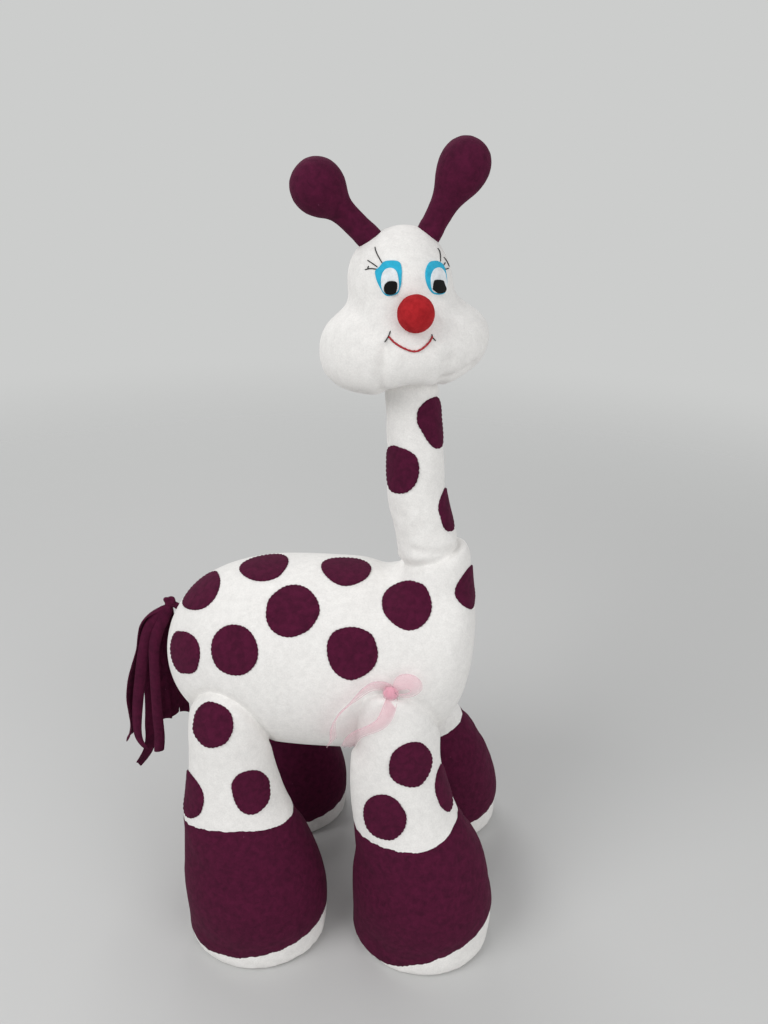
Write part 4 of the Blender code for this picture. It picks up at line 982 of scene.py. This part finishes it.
# each stitch's places across and up the face, in millimetres
LASHES = {
    "left": (
        ((-23.2, 120.5), (-22.8, 116.6), (-21, 112.1), (-18.4, 107)),
        ((-30.3, 111.5), (-26.2, 108.8), (-22.9, 106.3)), ((-33, 104.5), (-28.3, 105.5), (-23, 105)),
        ((-29.4, 107.4), (-30, 105.8), (-28.3, 105.5)),
    ),
    "right": (
        ((24.8, 115.1), (26.3, 111.6), (25.6, 104.7)), ((30.7, 104.4), (27, 102)),
        ((34.2, 99.2), (28.3, 99.7)), ((29.1, 108.5), (32.3, 103.6), (34.3, 99.4)),
    ),
}


def twisted_thread(name, colour):
    """Mercerised cotton thread: smooth, with the slight shine of its two twisted plies.

    The plies turn once a millimetre; they are drawn as fine slanting bands, their colour darker
    between the plies as painted shade and lighter on them as painted light."""
    material, tree, shader, place = start_material(name)
    plies = add_node(tree, "ShaderNodeTexWave", {
        "Vector": place, "Scale": 320.0, "Distortion": 1.0}, bands_direction="DIAGONAL")
    # The bands darken the colour between the plies and lighten it on them: painted shade and light.
    shade = add_node(tree, "ShaderNodeMapRange", {
        "Value": plies.outputs["Fac"], "To Min": 0.75, "To Max": 1.1})
    dyed = add_node(tree, "ShaderNodeVectorMath", {
        0: linear(colour)[:3], "Scale": shade.outputs["Result"]}, operation="SCALE")
    bump = add_node(tree, "ShaderNodeBump", {
        "Height": plies.outputs["Fac"], "Strength": 0.3, "Distance": 0.0002})
    connect(tree, shader, {
        "Base Color": dyed.outputs[0], "Normal": bump.outputs["Normal"], "Roughness": 0.6})
    return material


def add_skin(bm, rings):
    """Joins rings of a bmesh's points, each to the next."""
    for near, far in zip(rings, rings[1:]):
        for i in range(len(near)):
            j = (i + 1) % len(near)
            bm.faces.new((near[i], near[j], far[j], far[i]))


def add_cord(bm, rings):
    """Joins rings of points, as lists of places, to a cord with closed ends."""
    rings = [[bm.verts.new(place) for place in ring] for ring in rings]
    add_skin(bm, rings)
    bm.faces.new(rings[0][::-1])
    bm.faces.new(rings[-1])


def add_thread(bm, places, radius):
    """Adds a stitch of thread along places on the face. Its ends go down through the cloth."""
    path = []
    rows = eased(places, 4)
    for i, row in enumerate(rows):
        place, out = face_place(head_surface, *row)
        share = i / (len(rows) - 1)
        path.append(place + out * radius * (1.1 - 3 * (2 * abs(share - 0.5)) ** 8))
    rings = []
    for i, point in enumerate(path):
        ahead = heading(path, i)
        across = ahead.cross(head_way @ -ASIDE).normalized()
        rings.append(oval(point, across, ahead.cross(across), radius, radius, 8))
    add_cord(bm, rings)


black_thread = twisted_thread("black_cotton_thread", "#151313")
for side, stitches in LASHES.items():
    bm = bmesh.new()
    for stitch in stitches:
        add_thread(bm, np.array(stitch) / 1000, LASH_RADIUS)
    lashes = closed(f"eye_{side}_lashes_thread", bm)
    lashes.data.materials.append(black_thread)
    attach(lashes, "head")
    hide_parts(f"eye_{side}_lashes")

# The mouth is stem stitch in red cotton thread, each stitch laid half beside the last one, with a
# black stitch across each corner.
MOUTH_RADIUS = 0.00072
MOUTH_STITCH = 0.0036
# one stitch's places, over a stitch's length, and how far beside the line each lies
STEM_STITCH = ((-0.15, -0.00035), (0.4, 0.0), (0.9, 0.0), (1.3, 0.00035))
MOUTH_LINE = (
    (-20, 58.2), (-16.7, 54.1), (-12.4, 50.6), (-8, 48), (-3.5, 46.1), (1.1, 45.8), (6, 48), (10.5, 51.5),
    (12.9, 54.8),
)
MOUTH_CORNERS = {
    "left": ((-18.1, 62.2), (-20, 58.2), (-23.6, 53.1)),
    "right": ((12.8, 56.9), (13.3, 54.3), (15.7, 51.3)),
}

line = np.array(eased(np.array(MOUTH_LINE) / 1000, 6))
runs = np.concatenate([[0], np.cumsum(np.linalg.norm(np.diff(line, axis=0), axis=1))])
count = round(runs[-1] / MOUTH_STITCH)
bm = bmesh.new()
for i in range(count):
    stitch = []
    for share, beside in STEM_STITCH:
        run = np.clip((i + share) / count, 0, 1) * runs[-1]
        stitch.append((np.interp(run, runs, line[:, 0]), np.interp(run, runs, line[:, 1]) + beside))
    add_thread(bm, stitch, MOUTH_RADIUS)
mouth = closed("mouth_thread", bm)
mouth.data.materials.append(twisted_thread("red_cotton_thread", "#ad1f29"))
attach(mouth, "head")
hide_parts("mouth")
for side, places in MOUTH_CORNERS.items():
    bm = bmesh.new()
    add_thread(bm, np.array(places) / 1000, LASH_RADIUS)
    corner = closed(f"mouth_corner_{side}_thread", bm)
    corner.data.materials.append(black_thread)
    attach(corner, "head")
    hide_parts(f"mouth_corner_{side}")

# The tail's knot is a strip of plum fleece tied in an overhand knot. Its end is sewn to the rump,
# and it holds the tops of the strips that hang from it.
KNOT_PLACE = (-0.1492, 0.0, 0.325)
KNOT_TURN = 0.00132
KNOT_CLOTH = 0.0029
RUMP_SEAT = (-0.134, 0.0, 0.316)
# how thick the cloth's end is from the knot to the rump, and the bundle is at its top and foot
KNOT_END = (0.003, 0.0036, 0.0042)
KNOT_CORE = (0.0042, 0.0045)

knot_place = MIDLINE + Vector(KNOT_PLACE)
rump_seat = MIDLINE + Vector(RUMP_SEAT)
loops = []
for t in (2 * math.pi * i / 48 for i in range(49)):
    turn = Vector((math.sin(t) + 2 * math.sin(2 * t), -math.sin(3 * t), math.cos(t) - 2 * math.cos(2 * t)))
    loops.append(knot_place + turn * KNOT_TURN)
bundle = [knot_place + Vector((0.002, 0, 0.002)), knot_place - Vector((0.001, 0, 0.004))]
knot = None
for name, path, sizes in (
    ("tail_knot_fleece", loops, [KNOT_CLOTH] * len(loops)),
    ("knot_end", [knot_place, knot_place.lerp(rump_seat, 0.5), rump_seat], KNOT_END),
    ("knot_core", bundle, KNOT_CORE),
):
    rings = []
    for i, (point, size) in enumerate(zip(path, sizes)):
        way = heading(path, i)
        across = way.cross(Vector((0.1, 1, 0.05))).normalized()
        rings.append(oval(point, across, way.cross(across), size, size * 0.85, 14))
    piece = sewn_form(name, rings)
    if knot is None:
        knot = piece
    else:
        joined_to(knot, piece)
remesh = knot.modifiers.new("remesh", "REMESH")
remesh.mode = "VOXEL"
remesh.voxel_size = 0.0008
smooth = knot.modifiers.new("smooth", "SMOOTH")
smooth.iterations = 3
settle(knot)
knot.data.materials.append(plum_fleece)
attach(knot, "torso")
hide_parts("tail_knot")

# The tail's tassel is cut from the same plum fleece: strips a finger's width across, tied in by the
# knot at their tops, that hang in loose curves. Their cut ends are slanted, and the cloth's own
# stretch curls their long edges.
STRIP_WIDTH = 0.0115
STRIP_THICKNESS = 0.0019
STRIP_CURL = 0.34
# the share of a strip's length in which it widens from the knot, and of its width at the knot
STRIP_WIDENS = 0.16
STRIP_TIED = 0.5
# where the strips leave the knot, from its middle
STRIP_TIE = Vector((0.0005, 0, 0.003))
# for each strip: how far it hangs to the far side, how its width turns from the giraffe's length
# towards the far side at its top and its foot, how its foot is cut, and its path behind and up from
# the middle of the stance, in millimetres
STRIPS = (
    (-6, 60, 76, -2, (
        (-156.3, 320), (-167.3, 313.9), (-176, 303.3), (-179.9, 289.5), (-183.2, 274.1), (-190.4, 255),
        (-197.4, 235.5), (-202.2, 212.5), (-202.6, 194.3), (-202.7, 177.5), (-205.8, 163.6),
        (-209.4, 156.8))),
    (-12, 20, -25, 4, (
        (-152.3, 320.3), (-163, 309.4), (-170.7, 295.5), (-175.7, 278.6), (-180.2, 259.9), (-185.6, 234.4),
        (-190.7, 209.8), (-194.6, 188.1), (-196.6, 171.1), (-195.7, 158.3), (-191.2, 148.9))),
    (-3, 40, 35, 5, (
        (-153.9, 314.4), (-163.6, 301.9), (-170.6, 285.3), (-175.7, 267.1), (-178.7, 245), (-180.2, 220.8),
        (-181.9, 196), (-184.2, 175.7), (-185.5, 158.5), (-189.5, 142.4), (-196.3, 129.5), (-204.4, 118.1))),
    (-14, 10, -12, -3, (
        (-150.2, 317.1), (-157.6, 303.1), (-163.6, 287.8), (-166.8, 270.8), (-168.2, 252.2),
        (-169.4, 228.4), (-170.4, 204), (-171.1, 184.1), (-171.6, 165.5), (-174.5, 145.5))),
    (5, 30, 48, 2, (
        (-152.4, 313.2), (-155.5, 301.7), (-160.1, 289.2), (-164.3, 276.6), (-167.6, 259.2),
        (-168.2, 236.9), (-168.7, 210.9), (-169.1, 190.9), (-168.9, 175.6))),
    (15, 35, 25, -3, (
        (-153.4, 306), (-158.8, 292), (-162.7, 276.3), (-165.5, 255.7), (-165.7, 233.2), (-163.9, 208.7),
        (-162.9, 190.3), (-164.4, 171.3))),
    (24, 50, 32, 3, (
        (-155.6, 302.6), (-160.1, 286.7), (-164.7, 269.7), (-165.4, 248.9), (-163.5, 226.2),
        (-159.5, 201.5), (-156.2, 183), (-155.9, 171))),
    (12, 5, 8, -3, (
        (-154.8, 311.5), (-163.6, 300.6), (-172.1, 286.3), (-177.7, 268.8), (-181.9, 246.3),
        (-183.6, 220.3), (-184.2, 195.2), (-185.9, 169.5), (-188.3, 150.1))),
)


def band_ways(path, sideways, i):
    """The way that a band runs at one point of its path, and the way its width lies there."""
    ahead = heading(path, i)
    return ahead, (sideways[i] - ahead * sideways[i].dot(ahead)).normalized()


def length_of(path):
    """The length of a line of points."""
    return sum((b - a).length for a, b in zip(path, path[1:]))


def add_band(bm, path, sideways, widths, thickness, curl, ends):
    """Adds a closed thin band of cloth along a path, its long edges curled.

    ends gives how far its last row is cut beyond the path, across its width."""
    count = len(ends)
    rings = []
    for i, point in enumerate(path):
        ahead, side = band_ways(path, sideways, i)
        out = ahead.cross(side)
        cut = max(0, 1 - (len(path) - 1 - i) / 3)
        ring = []
        for face in (1, -1):
            for k in range(count):
                across = face * (2 * k / (count - 1) - 1)
                end = ends[k if face > 0 else -1 - k] * cut
                lift = curl * across ** 2 * widths[i] / 2 + face * thickness / 2 * (1 - 0.4 * across ** 4)
                ring.append(bm.verts.new(point + side * (across * widths[i] / 2) + ahead * end + out * lift))
        rings.append(ring)
    add_skin(bm, rings)
    for ring in (rings[0][::-1], rings[-1]):
        for k in range(count - 1):
            bm.faces.new((ring[k], ring[k + 1], ring[2 * count - 2 - k], ring[2 * count - 1 - k]))


tie = knot_place - STRIP_TIE
for number, (aside, top_turn, foot_turn, slant, places) in enumerate(STRIPS, 1):
    path, sideways, widths = [], [], []
    shape = [(0, 0, 0)]
    for i, (behind, up) in enumerate(places):
        fan = min(1, (i + 1) / 4)
        place = MIDLINE + Vector((behind / 1000, aside / 1000 * fan * (2 - fan), up / 1000))
        shape.append(tuple(place - tie))
    rows = eased(shape, 4)
    for i, row in enumerate(rows):
        share = i / (len(rows) - 1)
        sway = 9 * math.sin(7 * share + number * 2)
        turn = math.radians(top_turn + (foot_turn - top_turn) * share ** 1.3 + sway)
        path.append(tie + Vector(row))
        sideways.append(Vector((math.cos(turn), math.sin(turn), 0.15 * math.sin(number))))
        widths.append(STRIP_WIDTH * (STRIP_TIED + (1 - STRIP_TIED) * min(1, share / STRIP_WIDENS)))
    bm = bmesh.new()
    curl = STRIP_CURL * (1 if number % 2 else -1)
    cut_end = [slant * (k / 4 - 1) / 1000 for k in range(9)]
    add_band(bm, path, sideways, widths, STRIP_THICKNESS, curl, cut_end)
    strip = closed(f"tail_strip_{number}_fleece", bm)
    subdivide(strip)
    strip.data.materials.append(plum_fleece)
    length = length_of(path)
    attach(strip, "tail")
    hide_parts("tail_strips")

# The bow is one length of sheer pink organza, half an inch wide: a gathered knot sewn to the flank,
# one puffed loop and two tails, one standing on its edge and one lying over the leg to a frayed end.
RIBBON_WIDTH = 0.0125
RIBBON_THICKNESS = 0.0003
RIBBON_STAND = 0.0022
SELVEDGE_RADIUS = 0.00035
BOW_PLACE = (0.0775, 0.2985)
BOW_LOOP = (
    (0, 0), (2.5, 9), (7, 15), (13.5, 17.8), (20, 16), (24.3, 10.5), (24.6, 4), (20, -1.8), (12.5, -5),
    (5, -4.6), (0.5, -1),
)
# each tail's places along and up the flank, and its turn from lying flat to standing on its edge
BOW_TAILS = (
    ((0, 1, 10), (-5, 4.5, 12), (-14.5, 6, 24), (-22.6, 2.5, 42), (-30.8, -5.5, 56), (-40.8, -16, 68),
     (-47.8, -26, 78), (-51.1, -37, 80), (-51.9, -50.5, 76), (-54.1, -63.5, 60)),
    ((1, -3, 10), (0.5, -9, 12), (-6.6, -24.3, 15), (-18.2, -34.2, 20), (-28.4, -43.6, 22), (-34.6, -54, 20),
     (-37.6, -64, 18), (-39.5, -71.5, 15)),
)
# the loop's middle, how much of its traced length and height it keeps as it puffs, and how far it
# stands off the flank and leans inward
BOW_PUFF = Vector((0.0125, 0, 0.006))
LOOP_KEEPS = (0.78, 0.68)
LOOP_STAND = 0.0035
LOOP_LEAN = 1.2
LOOP_CURL, TAIL_CURL = 0.12, 0.15
# the width with which the loop and the tails leave the knot, and the share of a tail's length in
# which it widens
LOOP_GATHERED, TAIL_GATHERED = 0.35, 0.45
TAIL_WIDENS = 0.2
FRAYED = (0.0015, -0.003, 0.001, 0.0035, -0.0025, 0.0, 0.005, -0.002, 0.003)
STRAIGHT = (0.0,) * 9
# how far each shell of the knot reaches, from the loose film outside to the tight gathers
KNOT_SHELLS = (0.007, 0.0058, 0.0043)
SHELL_SIDES = 42
SHELL_GATHERS = 7
SHELL_RIPPLE = 0.13
# a shell's height and thickness over its reach
SHELL_TALL, SHELL_THICK = 1.1, 0.55
ORGANZA_PINK = "#ffc6d5"
GATHERED_PINK = "#ffbed0"


def sheer_organza(name, colour):
    """Nylon organza: fine stiff yarns with gaps between them, so it lets light through and glints.

    Its yarns lie 0.15 mm apart; they are drawn 0.6 mm apart, as a faint change of tone."""
    material, tree, shader, place = start_material(name)
    warp, weft = (
        add_node(tree, "ShaderNodeTexWave", {
            "Vector": place, "Scale": 260.0, "Distortion": 0.6}, bands_direction=way) for way in "XZ")
    weave = add_node(tree, "ShaderNodeMath", {
        0: warp.outputs["Fac"], 1: weft.outputs["Fac"]}, operation="MULTIPLY")
    tone = add_node(tree, "ShaderNodeMapRange", {"Value": weave.outputs[0], "To Min": 0.9, "To Max": 1.08})
    dyed = add_node(tree, "ShaderNodeVectorMath", {
        0: linear(colour)[:3], "Scale": tone.outputs["Result"]}, operation="SCALE")
    bump = add_node(tree, "ShaderNodeBump", {
        "Height": weave.outputs[0], "Strength": 0.2, "Distance": 0.0001})
    connect(tree, shader, {
        "Base Color": dyed.outputs[0], "Normal": bump.outputs["Normal"], "Alpha": 0.22, "Roughness": 0.45,
        "Sheen Weight": 0.6})
    return material


def gathered_organza(name, colour):
    """The same organza where many layers lie gathered on each other, so that little shows through."""
    material, tree, shader, place = start_material(name)
    gathers = add_node(tree, "ShaderNodeTexWave", {"Vector": place, "Scale": 120.0, "Distortion": 4.0})
    bump = add_node(tree, "ShaderNodeBump", {
        "Height": gathers.outputs["Fac"], "Strength": 0.3, "Distance": 0.0004})
    connect(tree, shader, {
        "Normal": bump.outputs["Normal"], "Base Color": linear(colour), "Alpha": 0.7, "Roughness": 0.5,
        "Sheen Weight": 0.6})
    return material


def add_selvedge(bm, path, sideways, widths, radius):
    """Adds the close-woven cord along each long edge of a ribbon."""
    for edge in (-1, 1):
        rings = []
        for i, point in enumerate(path):
            ahead, side = band_ways(path, sideways, i)
            centre = point + side * (edge * widths[i] / 2)
            rings.append(oval(centre, side, ahead.cross(side), radius, radius, 6))
        add_cord(bm, rings)


def on_flank(along, up, stand):
    """A place just off the flank or the leg beside it, whichever stands further out."""
    start = Vector((MIDLINE.x + along, MIDLINE.y - 0.3, up))
    hits = [surface.ray_cast(start, ASIDE)[0] for surface in (torso_surface, leg_surfaces["front_right"])]
    return min((hit for hit in hits if hit), key=lambda hit: hit.y) - Vector((0, stand, 0))


bow_x, bow_z = BOW_PLACE
bow = on_flank(bow_x, bow_z, 0.004)
bm = bmesh.new()
rows = eased([(along, up, 0) for along, up in BOW_LOOP], 5)
path, sideways, widths = [], [], []
for i, (along, up, _) in enumerate(rows):
    inward = BOW_PUFF - Vector((along, 0, up)) / 1000
    path.append(bow + BOW_PUFF - Vector((LOOP_KEEPS[0] * inward.x, LOOP_STAND, LOOP_KEEPS[1] * inward.z)))
    sideways.append(-ASIDE + inward.normalized() * LOOP_LEAN)
    open_share = min(1, 5 * i / len(rows), 5 * (len(rows) - 1 - i) / len(rows))
    widths.append(RIBBON_WIDTH * (LOOP_GATHERED + (1 - LOOP_GATHERED) * open_share))
add_band(bm, path, sideways, widths, RIBBON_THICKNESS, LOOP_CURL, STRAIGHT)
add_selvedge(bm, path, sideways, widths, SELVEDGE_RADIUS)
length = length_of(path)
for number, tail in enumerate(BOW_TAILS):
    rows = eased(tail, 4)
    path, sideways, widths = [], [], []
    for i, (along, up, turn) in enumerate(rows):
        share = i / (len(rows) - 1)
        stand = RIBBON_STAND + 0.0025 * math.sin(math.pi * share)
        place = on_flank(bow_x + along / 1000, bow_z + up / 1000, stand)
        if path:
            place.y = max(min(place.y, path[-1].y + 0.0012), path[-1].y - 0.0035)
        path.append(place)
        widths.append(RIBBON_WIDTH * (TAIL_GATHERED + (1 - TAIL_GATHERED) * min(1, share / TAIL_WIDENS)))
    turns = [math.radians(turn) for _, _, turn in rows]
    for i, turn in enumerate(turns):
        flat = heading(path, i).cross(-ASIDE).normalized()
        sideways.append(flat * math.cos(turn) - ASIDE * math.sin(turn))
    path = [place - ASIDE * (0.5 * width * math.sin(turn)) for place, width, turn in zip(path, widths, turns)]
    add_band(bm, path, sideways, widths, RIBBON_THICKNESS, TAIL_CURL, FRAYED if number else STRAIGHT)
    add_selvedge(bm, path, sideways, widths, SELVEDGE_RADIUS)
    length += length_of(path)
for shell, size in enumerate(KNOT_SHELLS):
    rings = []
    for tilt in range(-90, 91, 15):
        tilt = math.radians(tilt)
        centre = bow + Vector((-0.0005, -0.0015, -0.001 + SHELL_TALL * size * math.sin(tilt)))
        ring = oval(
            centre, FORWARD, ASIDE, size * math.cos(tilt), size * SHELL_THICK * math.cos(tilt), SHELL_SIDES)
        middle = sum(ring, Vector()) / len(ring)
        rings.append([
            middle + (point - middle) * (
                1 + SHELL_RIPPLE * math.cos(SHELL_GATHERS * 2 * math.pi * i / SHELL_SIDES + shell))
            for i, point in enumerate(ring)
        ])
    gather = sewn_form("bow_gather", rings)
    before = len(bm.faces)
    bm.from_mesh(gather.data)
    bm.faces.ensure_lookup_table()
    for face in bm.faces[before:]:
        face.material_index = min(shell, 1)
    bpy.data.objects.remove(gather)
bow_piece = closed("bow_organza", bm)
bow_piece.data.materials.append(sheer_organza("pink_nylon_organza", ORGANZA_PINK))
bow_piece.data.materials.append(gathered_organza("gathered_nylon_organza", GATHERED_PINK))
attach(bow_piece, "torso")
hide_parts("ribbon_bow")

# The floor is a plain pale sheet that fades into the studio's backdrop. The light is soft and
# white, a large lamp over the camera's left shoulder, a weaker one at the right and one behind, so
# that the cloth shows its own colours.
FLOOR_COLOUR = "#c9c9c8"
BACKDROP_COLOUR = "#cccdcc"
ROOM_COLOUR = "#ecedee"
ROOM_LIGHT = 0.54
FADE_FROM = 0.45
FADE_TO = 2.6
FLOOR_REACH = 4
# each lamp's place, width and power, and the place on the giraffe that they all light
LAMPS = (
    ("key", (-1.2, -1.1, 1.7), 1.3, 21.5), ("fill", (1.4, -1.25, 1.0), 1.5, 13.0),
    ("back", (-0.6, 1.3, 1.9), 1.2, 11.0),
)
LIT_PLACE = Vector((0.05, 0, 0.35))

bm = bmesh.new()
bmesh.ops.create_grid(bm, x_segments=1, y_segments=1, size=FLOOR_REACH)
floor = in_scene("floor", bm)
paper, tree, shader, place = start_material("pale_card")
grain = add_node(tree, "ShaderNodeTexNoise", {"Vector": place, "Scale": 900.0, "Detail": 2.0})
bump = add_node(tree, "ShaderNodeBump", {
    "Height": grain.outputs["Fac"], "Strength": 0.05, "Distance": 0.0005})
away = add_node(tree, "ShaderNodeVectorMath", {0: place}, operation="LENGTH")
fade = add_node(tree, "ShaderNodeMapRange", {
    "Value": away.outputs["Value"], "From Min": FADE_FROM, "From Max": FADE_TO, "To Min": 1.0, "To Max": 0.0},
    interpolation_type="SMOOTHSTEP")
connect(tree, shader, {
    "Base Color": linear(FLOOR_COLOUR), "Normal": bump.outputs["Normal"], "Roughness": 0.8,
    "Alpha": fade.outputs["Result"]})
floor.data.materials.append(paper)
floor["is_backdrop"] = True

world = bpy.data.worlds.new("room")
bpy.context.scene.world = world
world.use_nodes = True
tree = world.node_tree
lit = tree.nodes["Background"]
connect(tree, lit, {"Color": linear(ROOM_COLOUR), "Strength": ROOM_LIGHT})
seen = add_node(tree, "ShaderNodeBackground", {"Color": linear(BACKDROP_COLOUR)})
path = add_node(tree, "ShaderNodeLightPath")
direct = add_node(tree, "ShaderNodeMath", {
    0: path.outputs["Is Camera Ray"], 1: path.outputs["Is Glossy Ray"]}, operation="ADD")
straight = add_node(tree, "ShaderNodeMath", {
    0: direct.outputs[0], 1: path.outputs["Is Transmission Ray"]}, operation="ADD", use_clamp=True)
both = add_node(tree, "ShaderNodeMixShader", {
    0: straight.outputs[0], 1: lit.outputs[0], 2: seen.outputs[0]})
tree.links.new(both.outputs[0], tree.nodes["World Output"].inputs["Surface"])
for name, place, size, power in LAMPS:
    lamp = bpy.data.objects.new(name, bpy.data.lights.new(name, "AREA"))
    lamp.data.shape = "DISK"
    lamp.data.size = size
    lamp.data.energy = power
    lamp.location = place
    lamp.rotation_euler = (LIT_PLACE - Vector(place)).to_track_quat("-Z", "Y").to_euler()
    bpy.context.scene.collection.objects.link(lamp)
bpy.context.scene.view_settings.view_transform = "Standard"

low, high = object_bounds()
